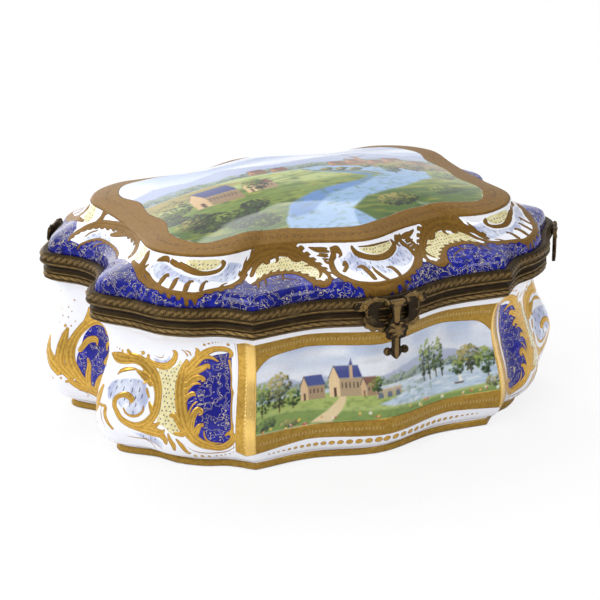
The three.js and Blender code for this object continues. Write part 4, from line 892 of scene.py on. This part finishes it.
def lake_valley(c):
    """Top of the lid: a winding river, a farm, a far village with a windmill and hills, seen from the front."""
    c.lay(np.ones(len(c.x)), (214, 222, 238))
    c.lay((c.y - 20) / 50, (176, 194, 228))
    c.mottle(26, 2.2, 1.7, 0.6, 0.75, (246, 247, 250))
    c.below([(-115, 26), (-92, 36), (-70, 28), (-40, 38), (-8, 26), (26, 32), (60, 42), (88, 30), (115, 34)],
            (182, 192, 218), 3, 0.85, 2)
    c.below([(-115, 18), (-80, 20), (-46, 14), (-10, 19), (30, 16), (70, 22), (115, 16)], (158, 174, 184), 2, 0.85, 2)
    for k, x in enumerate(np.arange(-110, 112, 8)):
        c.tree(x, 13 + 2 * math.sin(k * 1.7), 12, 9, FAR_TREE, trunk=False)
    c.below([(-115, 8), (-40, 10), (20, 7), (115, 9)], (196, 206, 150), 2)
    c.below([(-115, -14), (-60, -8), (0, -18), (60, -10), (115, -14)], (150, 168, 92), 6)
    c.below([(-115, -44), (-60, -38), (0, -48), (60, -40), (115, -44)], (112, 138, 66), 8)
    c.shape([(20, 9), (60, 11), (112, 8), (112, -8), (84, -12), (52, -6)], (176, 150, 112), 2.5)
    c.shape([(-112, 8), (-60, 9), (-40, 2), (-70, -6), (-112, -4)], (182, 168, 118), 2.5)
    for k in range(11):
        c.line([(24 + 8 * k, 8.5), (40 + 7 * k, 0), (60 + 5 * k, -10)], 0.8, (140, 112, 84))
    c.mottle(14, 5, 2.2, 1.1, 0.55, (196, 190, 96), c.y < 6)
    c.mottle(8, 4, 2.2, 1.2, 0.65, (74, 100, 48), c.y < 0)
    c.shape([(-22, 8), (4, 7.5), (10, 2), (34, -6), (52, -16), (36, -28), (-2, -36), (-30, -48), (-40, -62), (-42, -84),
             (22, -84), (8, -62), (24, -50), (58, -40), (86, -26), (88, -12), (62, -2), (34, 4), (26, 8)],
            (172, 198, 226), 2)
    c.shape([(6, 1), (34, -9), (48, -17), (30, -26), (-6, -34), (-30, -46), (-36, -60), (-20, -60), (0, -42), (28, -33),
             (44, -22), (30, -12)], (128, 164, 208), 2.5)
    c.line([(4, 6), (12, 0), (36, -8), (53, -17)], 1.2, (122, 106, 76))
    c.mottle(4, 2, 1.8, 0.9, 0.5, (110, 136, 72), c.y < 6)
    c.house(-84, -22, 34, 15, 11)
    c.house(-46, -18, 22, 10, 8, (230, 206, 168), (150, 112, 96))
    for x, y, width, height in ((26, 6, 13, 6), (40, 8, 15, 7), (56, 6, 12, 6), (69, 8, 16, 8), (86, 5, 14, 6),
                                (-16, 9, 12, 5), (-32, 10, 13, 6)):
        c.house(x, y, width, height, height * 0.75, (196, 150, 112), (140, 92, 74))
    c.shape([(50, 12), (56, 12), (55, 27), (53, 30), (51, 27)], (184, 142, 108), 0.6)
    for turn in (0.4, 1.97, 3.54, 5.11):
        c.line([(53, 26), (53 + 11 * math.cos(turn), 26 + 11 * math.sin(turn))], 1.1, (116, 92, 78))
    for k, (x, y) in enumerate([(-104, -26), (-92, -34), (-78, -40), (-62, -44), (-50, -36), (-88, -50), (-68, -54),
                                (-52, -56)]):
        c.tree(x, y, 20 + 3 * (k % 2), 13, DARK_TREE, 190, False)
    for k in range(9):
        c.tree(20 + 9.5 * k, 1 - 2.5 * (k % 3), 9, 6, OAK, 50, False)
    for place in ((-98, -8, 26, 30, OAK, 260), (-36, -6, 16, 20, LEAF, 160), (-70, -44, 24, 14, LEAF, 150, False),
                  (82, 2, 22, 26, OAK, 240), (64, -4, 14, 22, LEAF, 160), (98, -18, 18, 20, LEAF, 180),
                  (44, -56, 30, 14, OAK, 200, False), (84, -48, 26, 12, LEAF, 160, False),
                  (-96, -40, 22, 16, OAK, 160, False)):
        c.tree(*place)


# ---------------------------------------------------------------- porcelain body
LAYERS = ("gold", "line", "cobalt", "yellow", "grey", "dark", "tool", "burnish_and_highlight", "matt")


def paint(obj, start, *parts):
    """Gives the mesh its layers as point attributes from vertex start on; each part is a chart and its picture."""
    for name in LAYERS:
        values = [chart.stored(name) for chart, picture in parts]
        add_value(obj, name, np.concatenate([np.full(start, OUTSIDE)] + values), OUTSIDE)
    add_value(obj, "across", np.concatenate([np.zeros(start)] + [chart.across for chart, picture in parts]))
    colours = np.zeros((len(obj.data.vertices), 4), np.float32)
    for chart, picture in parts:
        colours[start:start + len(picture)] = picture
        start += len(picture)
    obj.data.attributes.new("picture", "FLOAT_COLOR", "POINT").data.foreach_set("color", colours.ravel())


outer_profile = even_run(BODY_PROFILE, PROFILE_SPAN, PITCH)
outer_rows = [ring(z, -PORCELAIN_INSET * (z / NECK) ** 6, foot_line, share,
                   FLANK_SWELL * math.exp(-((z - SWELL_HEIGHT) / SWELL_SPAN) ** 2)) for z, share in outer_profile]
# Ring of the foot, from the recess under the body out to its edge
under_rows = [ring(5, 0, foot_line, 1.3), ring(0, 0, foot_line, 1.2), ring(0, 0, foot_line, .86)]
lip_rows = [ring(LIP_TOP, -PORCELAIN_INSET), ring(LIP_TOP, -PORCELAIN_INSET - RIM_WALL)]
inner_rows = [ring(z, 0, foot_line, share + WALL_DRAW) for z, share in even_run(INNER_PROFILE, PROFILE_SPAN, 3.0)]
body = grid_mesh("body_shell", under_rows + outer_rows + lip_rows + inner_rows, caps=True)

# Frame of the front and back pictures: edges of its two bands, at distances from the middle, and its two ends
TOP_AT, TOP_LOW, TOP_HIGH = [0, 5, 53, 91.5, 106], [77.2, 77.3, 79.5, 76, 72], [87.2, 87.4, 89.2, 88.4, 90]
FOOT_AT, FOOT_LOW, FOOT_HIGH = [0, 5, 54, 92, 106], [17.2, 17.3, 18.8, 15.4, 13], [29, 29, 28.6, 28.6, 30]
FRAME_END, UPRIGHT_START, UPRIGHT_END = 92.5, 91.5, 106.0
CORNER_DROP, CORNER_SPAN = 9.0, 17.0
TOP_TOOLED, FOOT_TOOLED = ([0, 53, 92], [82.2, 84.3, 82.4]), ([0, 54, 92], [23.1, 23.7, 22])
FOOT_BAND, PEARLS_AT = 4.9, 13.9

body_chart = Chart(np.tile(from_crest, len(outer_profile)), np.repeat(outer_profile[:, 0], COLUMNS))
for side in (-1.0, 1.0):
    body_chart.place(LOBE + BAY, side, flesh=1.3)
    for x, z, width in LOBE_DOTS + BAY_DOTS:
        body_chart.dot("gold", side * x, z, width)
        body_chart.dot("gold", side * (HALF_TURN - x), z, width)
q, z = np.abs(body_chart.x), body_chart.y
top_low, top_high = np.interp(q, TOP_AT, TOP_LOW), np.interp(q, TOP_AT, TOP_HIGH)
foot_low, foot_high = np.interp(q, FOOT_AT, FOOT_LOW), np.interp(q, FOOT_AT, FOOT_HIGH)
top_low = top_low - CORNER_DROP * np.clip(1 - (FRAME_END - q) / CORNER_SPAN, 0, 1) ** 2.2
bands = np.maximum(np.minimum(z - top_low, top_high - z), np.minimum(z - foot_low, foot_high - z))
frame_depth = np.minimum(FRAME_END - q, bands)
upright = np.minimum(90 - np.abs(q - 98) * 0.25 - z, z - 13 - np.abs(q - 99) * 0.35)
upright = np.minimum(np.minimum(q - UPRIGHT_START, UPRIGHT_END - q), upright)
foot_band = np.minimum(FOOT_BAND - z, z + 1)
gold = body_chart.layer("gold")
gold[:] = np.maximum(gold, np.maximum(np.maximum(frame_depth, upright), foot_band))
body_chart.layer("matt")[:] = np.maximum(np.maximum(frame_depth, foot_band), np.minimum(upright, 97 - q))
# Stripe along the arris of each upright: burnished gold, with a painted highlight that lightens its colour.
body_chart.layer("burnish_and_highlight")[:] = np.where(upright > 0, 3.4 - np.abs(q - 95.6) * 0.75, OUTSIDE)
for side in (-1.0, 1.0):
    for x in np.arange(3.5, 90, 2.35):
        for tooled in (TOP_TOOLED, FOOT_TOOLED):
            middle = np.interp(x, *tooled)
            body_chart.stroke("tool", [(side * x - .5, middle - 1.1, .5), (side * x + .35, middle, .8),
                                       (side * x - .5, middle + 1.1, .5)])
    for height in np.arange(20, 85, 2.6):
        body_chart.dot("tool", side * 99.5, height, 1.4)
    body_chart.stroke("line", [(side * 107.3, 88, .25), (side * 107.6, 60, .3), (side * 107.2, 18, .25)])
    # Row of pearls over the foot, smaller away from the middle
    at = 0.0 if side > 0 else -5.8
    for k in range(16):
        size = 4.2 * (1 - k / 16) + 1.2
        body_chart.dot("gold", at, PEARLS_AT - 0.0001 * at * at, size, size * 0.8 if k < 12 else 1.1)
        at += side * (size + 1.4 + 0.3 * (k > 8))
body_chart.lattice("dark", 3.1, 1.0, "yellow")
body_chart.lattice("dark", 5.0, 0.5, "grey", 1.0, 1.3)
picture_depth = np.minimum(np.minimum(FRAME_END - 0.5 - q, top_low + 0.5 - z), z - foot_high + 0.5)
painting = Canvas(body_chart.x, body_chart.y, 11)
river_meadow(painting)
paint(body, len(under_rows) * COLUMNS,
      (body_chart, np.column_stack([painting.rgb ** PANEL_TONE, np.clip(picture_depth + 0.5, 0, 1)])))
body.data.materials.append(body_glaze)
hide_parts("porcelain_body")
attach(body, "base")


# ---------------------------------------------------------------- porcelain lid
def softened(line, reach):
    """The same closed line with its corners eased over this many mm each way."""
    n = int(reach / PITCH)
    weight = np.exp(-(np.arange(-2 * n, 2 * n + 1) / n) ** 2)
    return sum(np.roll(line, -k, 0) * w for k, w in zip(range(-2 * n, 2 * n + 1), weight / weight.sum()))


cartouche_line = softened(cartouche_line, 6.0)


def skirt_ring(share, rise, drop=0.0, inward=0.0):
    push = -(PORCELAIN_INSET + inward) * (1 - share) ** 2
    return ring(LID_TOP + SKIRT_RISE * rise - drop, push, cartouche_line, share)


def dome_ring(share, rise, drop=0.0):
    """The cartouche at the dome's edge, and nearer an oval towards the middle."""
    crest_reach, bay_reach = CARTOUCHE[0][1], CARTOUCHE[-1][0]
    turn = np.arctan2(cartouche_line[:, 1] / crest_reach, cartouche_line[:, 0] / bay_reach)
    oval = np.stack([bay_reach * np.cos(turn), crest_reach * np.sin(turn)], 1)
    ovalness = min(1.0, (1 - share) * 2)
    q = (cartouche_line * (1 - ovalness) + oval * ovalness) * share + SHIFT
    return np.column_stack([q, np.full(COLUMNS, BAND + DOME_RISE * rise - drop)])


def profile_run(profile, reach, rise, pitch):
    """A profile of shares resampled over a reach and a rise in mm."""
    run = even_run([(share * reach, height) for share, height in profile], rise, pitch)
    return run / (reach, 1)


skirt_run = profile_run(SKIRT_PROFILE, SKIRT_REACH, SKIRT_RISE, PITCH)
dome_run = profile_run(DOME_PROFILE, DOME_REACH, DOME_RISE, 0.9)[1:]
skirt_rows = [skirt_ring(share, rise) for share, rise in skirt_run]
dome_rows = [dome_ring(share, rise) for share, rise in dome_run[:-1]] + [dome_ring(0.001, 1)]
lid_inside = [skirt_ring(share, rise, LID_WALL, RIM_WALL)
              for share, rise in profile_run(SKIRT_PROFILE[3:], SKIRT_REACH, SKIRT_RISE, 3.0)]
lid_inside += [dome_ring(max(share, 0.01), rise, LID_WALL)
               for share, rise in profile_run(DOME_PROFILE[1:], DOME_REACH, DOME_RISE, 4.0)]
edge_rows = [ring(GUIDE_TOP, -PORCELAIN_INSET - RIM_WALL), ring(EDGE_FOOT, -PORCELAIN_INSET - RIM_WALL),
             ring(EDGE_FOOT, -PORCELAIN_INSET)]
lid = grid_mesh("lid_shell", lid_inside[::-1] + edge_rows + skirt_rows + dome_rows, caps=True)

# Upper edge of the cobalt, along the whole front or back; the right-hand scroll stands a little further out
COBALT_EDGE = [
    (-254.6, 19.4), (-243, 18.6), (-235, 17), (-226, 24), (-214, 27), (-205, 28.5), (-194, 26), (-181, 21.5),
    (-171, 14.5), (-159, 8.7), (-150, 6), (-141, 5), (-133, 4.3), (-127.7, 7), (-120.6, 9), (-113, 12), (-108, 17),
    (-103, 19), (-99, 16), (-95, 15), (-88, 19), (-80, 22), (-71, 22), (-62, 20.5), (-54.4, 16), (-49, 10),
    (-44.6, 5.7), (-40, 5), (-36.8, 10), (-34, 11), (-29.7, 13), (-25.2, 9), (-19.7, 5), (-13.6, 3), (-7.2, 2),
    (0.3, 2.5), (7.7, 3.6), (17.7, 5.2), (28.6, 10), (36, 14), (43.8, 10), (47, 5.2), (51.6, 5.7), (55.9, 10),
    (61.4, 16), (68.7, 20.5), (77.8, 22), (87.3, 22), (95.3, 19), (102, 16), (105, 18), (108, 17), (113, 12),
    (120.6, 9), (127.7, 7), (133, 4.3), (141, 5), (150, 6), (159, 8.7), (171, 14.5), (181, 21.5), (194, 26),
    (205, 28), (214, 22), (219, 8), (231, 4), (235, 10), (240.5, 18), (248, 19.4), (254.6, 19.4)]
MIDDLE_SHIFT = RIGHT_SHIFT = 7.0
GILT_EDGE = 39.0
scroll = LID_SCROLL + leafy(LID_SCROLL[1], -1, 5.2, 0.5) + leafy(LID_SCROLL[2], -1, 5.6, 0.45) + [
    hair(57, 10, .4, 63, 14, .9, 71, 16.5, 1, 80, 16, .4),
    gilt(98, 24, 4, 96, 30, 5, 90, 34, 5, 82, 35, 4, 74, 36, 3)]
scroll += [gilt(33.5, y, .5, 37.5 - .9 * k, y - .3, 1.5, 42 - 1.7 * k, y + .3, .6)
           for k, y in enumerate((36.6, 33.5, 30.4, 27.3))]
middle_shell = LID_MIDDLE + leafy(LID_MIDDLE[1], -1, 6.5, 0.4) + [hair(-12, -1.5, .4, 0, -.6, .8, 12, 1.2, .4)]
lobe_shell = LID_LOBE + leafy(LID_LOBE[1], 1, 6.4, 0.4)
side_shell = LID_SIDE + leafy(LID_SIDE[1], 1, 6.0, 0.4) + leafy(LID_SIDE[2], 1, 5.0, 0.4)

lid_chart = Chart(np.tile(from_crest, len(skirt_rows)), np.repeat(skirt_run[:, 0] * SKIRT_REACH, COLUMNS))
lid_chart.layer("cobalt")[:] = np.clip(np.interp(lid_chart.x, *np.array(COBALT_EDGE).T) - lid_chart.y, -6, 6)
lid_chart.place(scroll, -1.0, 0.0, 1.2)
lid_chart.place(scroll, 1.0, RIGHT_SHIFT, 1.2)
lid_chart.place(middle_shell, 1.0, MIDDLE_SHIFT, 1.2)
lid_chart.place(lobe_shell, -1.0, 0.0, 1.2)
lid_chart.place(lobe_shell, 1.0, 0.0, 1.2)
lid_chart.place(side_shell, -1.0, 0.0, 1.3)
lid_chart.lattice("dark", 2.7, 0.85, "yellow", 0.6)
lid_chart.lattice("dark", 5.2, 0.5, "grey", 0.9, 1.3)
skirt_gold = lid_chart.layer("gold")
skirt_gold[:] = np.maximum(skirt_gold, lid_chart.y - GILT_EDGE)

# Edge of the lid's picture in plan, and of the gilt band round it, both a quarter
DOME_PICTURE = [(0, 82), (22, 76), (44, 68), (66, 65), (86, 67), (100, 66), (110, 52), (112, 40), (107, 22), (110, 0)]
DOME_BAND = [(0, 96), (25, 89), (52, 80.5), (70, 77), (88, 81), (108, 77), (121, 66), (129, 50), (127.5, 25),
             (126.5, 0)]


def all_round(quarter):
    """The closed line that a quarter stands for."""
    q = np.array(quarter, float)
    return np.vstack([q] + [(q * flip)[::way][1:] for flip, way in (((1, -1), -1), ((-1, -1), 1), ((-1, 1), -1))])


dome_points = np.concatenate(dome_rows)[:, :2] - SHIFT
dome_chart = Chart(*dome_points.T)
dome_chart.patch("picture", all_round(DOME_PICTURE)[:-1])
dome_depth = dome_chart.layer("picture")
dome_chart.layer("gold")[:] = -dome_depth
middle = smooth(all_round((np.array(DOME_PICTURE) + DOME_BAND) / 2), 2000)
run = arc(middle)
for at in np.arange(0, run[-1] - 2, 4.7):
    here = at_arc(at, run, middle)
    ahead = at_arc(at + 1, run, middle) - here
    aside = np.array([-ahead[1], ahead[0]])
    dome_chart.stroke("tool", [(*(here + ahead * 1.5 * math.cos(a) + aside * 1.15 * math.sin(a)), 0.55)
                               for a in np.linspace(0.5, 5.6, 7)])
view = Canvas(*dome_points.T, 23)
lake_valley(view)
paint(lid, (len(lid_inside) + len(edge_rows)) * COLUMNS, (lid_chart, np.zeros((len(lid_chart.x), 4))),
      (dome_chart, np.column_stack([view.rgb ** DOME_TONE, np.clip(dome_depth + 0.5, 0, 1)])))
lid.data.materials.append(lid_glaze)
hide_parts("porcelain_lid")
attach(lid, "lid")

# ---------------------------------------------------------------- cast collars
# Sections as (height, way out from the girdle)
BASE_FACE = [(101.95, -2.2), (93.6, -2.2), (93.6, -1.3), (95, .5), (97, 1), (99, .2), (101.2, 1), (103.35, -1.2),
             (103.35, -7.9), (106.95, -7.9), (106.95, -9.1), (101.95, -9.1)]
LID_FACE = [(105.05, -2.2), (105.05, -7.6), (103.65, -7.6), (103.65, -.6), (105.25, 2.5), (107.05, 3), (109.05, 2.2),
            (111.05, 3), (113.2, .6), (113, -2.2)]


def between(w, low, high):
    """One inside a range of shares, and none outside it."""
    return np.clip((w - low) * 14, 0, 1) * np.clip((high - w) * 14, 0, 1)


def collar(name, profile, foot, top, beads, ribs, pitch, lean, shaded_gap, force=1.0):
    """A cast collar: its section, with beaded lines and slanted leaf ribs on the face, and painted shade over the
    parting groove between the collars.
    """
    section = np.array(profile + profile[:1], float)
    run = arc(section)
    at = np.unique(np.round(np.r_[np.linspace(0, run[-1], int(run[-1] / 0.4), endpoint=False), run[:-1]], 4))
    rows, relief = [], []
    grain = 0.25 * np.sin(S * 2.3) * np.sin(S * 0.71 + 1.3)
    low, high = ribs
    for height, out in at_arc(at, run, section).T:
        w = (height - foot) / (top - foot)
        face = np.clip(out + 1.6, 0, 1) * between(w, 0.01, 0.99)
        depth = np.zeros(COLUMNS)
        for middle, width, bead_pitch in beads:
            line = math.exp(-((w - middle) / width) ** 4)
            depth = depth + line * (0.9 * np.abs(np.cos(S * math.pi / bead_pitch)) - 0.1)
            for way in (-1.35, 1.35):
                depth = depth - 0.5 * math.exp(-((w - middle + width * way) / 0.025) ** 2)
        slant = S / pitch + lean * (w - low) / (high - low) + grain * 0.3
        crown = 1 - (2 * (w - low) / (high - low) - 1) ** 2
        rib = (0.2 + 0.6 * crown) * (1 - np.abs(2 * np.mod(slant, 1) - 1) ** 1.6) * force
        vein = 0.1 * np.cos(2 * np.pi * slant * 3 + 1.1)
        depth = depth + between(w, low, high) * (rib + vein + 0.25 * crown - 0.2 + grain * 0.5)
        rows.append(ring(height))
        rows[-1][:, :2] += normals * (out + depth * face * 0.5)[:, None]
        # Painted shade: between these heights the face is marked for the dark colour that stands in for the shadow in
        # the gap between the collars.
        dark = (out > -7) & (shaded_gap[0] < height < shaded_gap[1])
        relief.append(np.where(dark, OUTSIDE, depth * face - 0.1))
    obj = grid_mesh(name, rows, closed=True)
    add_value(obj, "relief", np.concatenate(relief))
    obj.data.materials.append(collar_metal)
    return obj


# The last pair of heights of each collar is where painted shade darkens the parting groove.
base_ring = collar("base_collar_cast", BASE_FACE, 93.6, 103.35, [(0.12, 0.08, 1.3), (0.66, 0.07, 1.3)], (0.24, 0.56),
                   6.4, 1.3, (102.2, 104))
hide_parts("base_collar")
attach(base_ring, "base")
lid_ring = collar("lid_collar_cast", LID_FACE, 103.65, 113.2, [(0.29, 0.075, 1.3)], (0.42, 0.95), 4.8, -1.2,
                  (103, 104.5), 0.65)
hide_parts("lid_collar")
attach(lid_ring, "lid")


# ---------------------------------------------------------------- cast leaf relief on clasp and flank mounts
VOXEL = 0.42
LUMPS = [((3.1, 1.7, 2.3), 0), ((-2.2, 2.9, 3.7), 1), ((1.3, -3.3, 4.9), 2), ((4.7, 2.1, -2.6), 4)]


def cast_piece(node, name, strokes, middle, outward, reach=0.9, crust=0.45):
    """The CAD node's own form in fine mesh, its outer face modelled into leaf strokes (u, height, width)."""
    source = frame["nodes"][node]
    obj = link(bpy.data.objects.new(name, source.data.copy()))
    remesh = obj.modifiers.new("fine", "REMESH")
    remesh.mode, remesh.voxel_size = "VOXEL", VOXEL * MM
    mesh = bpy.data.meshes.new_from_object(obj.evaluated_get(bpy.context.evaluated_depsgraph_get()))
    obj.modifiers.clear()
    obj.data = mesh
    mesh.name = name
    n = len(mesh.vertices)
    co, normal = np.empty(n * 3, np.float32), np.empty(n * 3, np.float32)
    mesh.vertices.foreach_get("co", co)
    mesh.vertices.foreach_get("normal", normal)
    co, normal = co.reshape(-1, 3).astype(float), normal.reshape(-1, 3)
    outward = unit(np.array([*outward, 0.0]))
    u = (co / MM - np.array([*middle, 0.0])) @ np.array([-outward[1], outward[0], 0.0])
    height = np.zeros(n)
    for flip in (1.0, -1.0):
        for points in strokes:
            p = smooth(points) * (flip, 1, 1)
            for a, b in zip(p[:-1], p[1:]):
                t, ex, ey = from_line(u, co[:, 2] / MM, a, b)
                half = np.maximum(0.3, (a[2] + t * (b[2] - a[2])) / 2)
                far = np.hypot(ex, ey) / half
                crown = np.sqrt(np.clip(1 - far ** 2, 0, 1)) * np.minimum(1, half * 0.7)
                height = np.maximum(height, crown * (1 - 0.16 * (1 + np.cos(far * 7.5))))
    facing = np.clip(normal @ outward, 0, 1)
    lumps = sum(np.sin(co @ np.array(wave) / MM + phase) for wave, phase in LUMPS) / len(LUMPS)
    height = np.clip(height + crust * lumps, 0, 1.3)
    co += outward * ((height - 0.35) * reach * facing * MM)[:, None]
    mesh.vertices.foreach_set("co", co.ravel().astype(np.float32))
    add_value(obj, "relief", (height * 1.7 - 0.75) * (0.35 + 0.65 * facing))
    for face in mesh.polygons:
        face.use_smooth = True
    mesh.materials.clear()
    mesh.materials.append(ornament_metal)
    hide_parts(node)
    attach(obj, body_of(source)[0])


ESCUTCHEON = [
    [(7, 112.6, 3), (14, 113.4, 4.2), (19.5, 110.5, 5), (21.6, 104.5, 5), (20.4, 98.6, 5), (16, 94.6, 4.6),
     (10.5, 93, 4), (5.5, 93.6, 2.6)],
    [(19, 112, 2.6), (23, 113, 2.6), (25.8, 109.5, 1)],
    [(21, 106.5, 2.6), (25.2, 106, 2.4), (26, 102.5, 1)],
    [(20.5, 100, 2.8), (25, 99, 2.4), (25, 95.6, 1)],
    [(18, 96, 3), (22, 93.4, 2.4), (20.4, 90.6, 1)],
    [(14, 94, 3), (16, 90.4, 2.6), (13, 88.4, 1)],
    [(9, 93, 3), (9.6, 89.2, 2.6), (6.6, 87.6, 1)],
    [(16.2, 109, 1), (18.6, 106.4, 2), (18, 102.6, 2), (15.6, 102.4, 1.6), (15.8, 104.8, 1)],
    [(0, 93.5, 4), (0, 89.5, 3), (0, 87, 1.4)],
    [(2.4, 95.4, 2.2), (5.4, 97.4, 2), (8.2, 96, 1)],
    [(3, 91, 2.2), (6, 91.4, 2), (8, 93.5, 1)],
]
HASP = [
    [(0, 113.4, 11), (0, 109, 7.5), (0, 104, 5.6), (0, 99.5, 5.2)],
    [(2.4, 113, 2.6), (5.6, 112.6, 2.4), (8.4, 113.2, 1.4)],
    [(0, 94.5, 2.4), (3, 96.8, 2.6), (5.6, 96.4, 1.2)],
    [(0, 93.5, 2.4), (3.8, 93.6, 2.8), (6.6, 92, 1.2)],
    [(0, 92.5, 2.4), (3, 90.4, 2.6), (4.4, 88, 1.2)],
    [(0, 95, 4.4), (0, 92.5, 4.4)],
    [(0, 90, 3.4), (0, 85, 3.6), (0, 80.5, 4)],
    [(3.4, 81.4, 2), (6.4, 81.6, 2.2), (8.2, 79.4, 2.2), (7.2, 76.8, 2.2), (4.8, 77, 1.8), (5, 79.2, 1.4)],
    [(0, 80, 4.6), (0, 76.5, 3.6), (0, 73, 1.4)],
]
FLANK = [
    [(2, 113.4, 2.4), (6.4, 113.6, 3), (9.2, 110.5, 3.2), (10, 105, 3.2), (9.4, 99.6, 3.2), (6.6, 96, 3),
     (2.6, 94.6, 2.6)],
    [(9, 112, 2), (11.6, 113, 2), (13, 110, 1)],
    [(9.8, 106.4, 2), (12.2, 106, 2), (13, 103, 1)],
    [(9.6, 101, 2), (12.2, 99.6, 2), (12, 96.6, 1)],
    [(7, 96.4, 2.2), (8.4, 93.4, 2), (6.6, 91.6, 1)],
    [(0, 95, 3), (0, 92.6, 2.4), (0, 91, 1)],
    [(6.6, 109, 1), (8.2, 106.6, 1.6), (7.6, 103.6, 1.4)],
]
cast_piece("clasp_escutcheon", "clasp_escutcheon_cast", ESCUTCHEON, (0, 0), (0, -1))
cast_piece("clasp_hasp", "clasp_hasp_cast", HASP, (0, 0), (0, -1), 0.55, 0.2)
for side in ("right", "left"):
    boxes = [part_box("flank_rivet_%s_%s" % (side, end)) for end in "ab"]
    ends = np.array([[(v + w) / 2 for v, w in zip(*box)] for box in boxes])[:, :2] / MM
    across = unit(ends[1] - ends[0])
    outward = np.array([across[1], -across[0]])
    outward = outward if outward @ ends.mean(0) > 0 else -outward
    cast_piece("flank_escutcheon_" + side, "flank_mount_%s_cast" % side, FLANK, ends.mean(0), outward, 0.7)


# ---------------------------------------------------------------- floor, light and camera
def aimed(name, data, place, way):
    """An object at a place, pointing its -Z along a way."""
    obj = link(bpy.data.objects.new(name, data))
    obj.location, obj.rotation_euler = place, way.to_track_quat("-Z", "Y").to_euler()
    return obj


floor_mesh = bpy.data.meshes.new("floor")
floor_mesh.from_pydata([(-6, -6, 0), (6, -6, 0), (6, 6, 0), (-6, 6, 0)], [], [(0, 1, 2, 3)])
floor = link(bpy.data.objects.new("floor", floor_mesh))
floor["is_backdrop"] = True
n = Nodes(bpy.data.materials.new("floor_paper"))
n.set(Base_Color=linear(246, 246, 247), Roughness=0.9, Specular_IOR_Level=0.1)
white_out = n.math("MULTIPLY", n.node("ShaderNodeLightPath", get="Is Camera Ray"), 0.8)
glow = n.node("ShaderNodeEmission", (1, 1, 1, 1), 1.0)
n.plug(n.tree.nodes["Material Output"].inputs["Surface"],
       n.node("ShaderNodeMixShader", white_out, n.shader.outputs[0], glow))
floor_mesh.materials.append(n.owner)

# Even light that grows towards the back, with a bright patch there; the camera itself sees plain white
BACK = (-0.22, 0.95, 0.2)
bpy.context.scene.world = bpy.data.worlds.new("studio")
sky = Nodes(bpy.context.scene.world, "Background")
seen = sky.node("ShaderNodeTexCoord", get="Generated")
toward_back = sky.node("ShaderNodeVectorMath", seen, BACK, get="Value", operation="DOT_PRODUCT")
level = sky.math("ADD", sky.step(toward_back, -0.35, 0.75, 0.42, 0.95), sky.step(toward_back, 0.8, 0.99, 0.0, 2.6))
camera_ray = sky.node("ShaderNodeLightPath", get="Is Camera Ray")
level = sky.math("MULTIPLY_ADD", level, sky.math("SUBTRACT", 1.0, camera_ray), camera_ray)
sky.set(Color=(1, 1, 1, 1), Strength=level)

# Lamps: place and aim in metres, width, height and watts
for name, place, target, width, height, watts in (
        ("key_left", (-1.2, -0.7, 1.2), (0, 0, 0.08), 0.7, 0.7, 11),
        ("top_back", (0.2, 0.9, 1.4), (0, 0, 0.1), 1.2, 0.7, 7),
        ("fill_front", (0.5, -1.5, 0.9), (0, 0, 0.08), 0.5, 0.5, 5)):
    lamp = bpy.data.lights.new(name, "AREA")
    lamp.shape, lamp.size, lamp.size_y, lamp.energy = "RECTANGLE", width, height, watts
    aimed(name, lamp, place, Vector(target) - Vector(place))

# Camera fitted to the photograph: it looks down this direction at this point, both of the CAD frame
LOOK = Vector((0.4063, 0.8437, -0.3508)).normalized()
AIM = Vector((5.087, 1.699 + SHIFT[1], 64.135)) * MM
DISTANCE = 1.734606
camera_data = bpy.data.cameras.new("camera")
camera_data.lens, camera_data.sensor_width = 152.66, 36.0
camera_data.shift_x = -0.0106
camera_data.clip_start, camera_data.clip_end = 0.05, 50
bpy.context.scene.camera = aimed("camera", camera_data, AIM - LOOK * DISTANCE, LOOK)
bpy.context.scene.view_settings.view_transform = "Standard"

boxes = (("cad", cad_box), ("visual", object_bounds()))
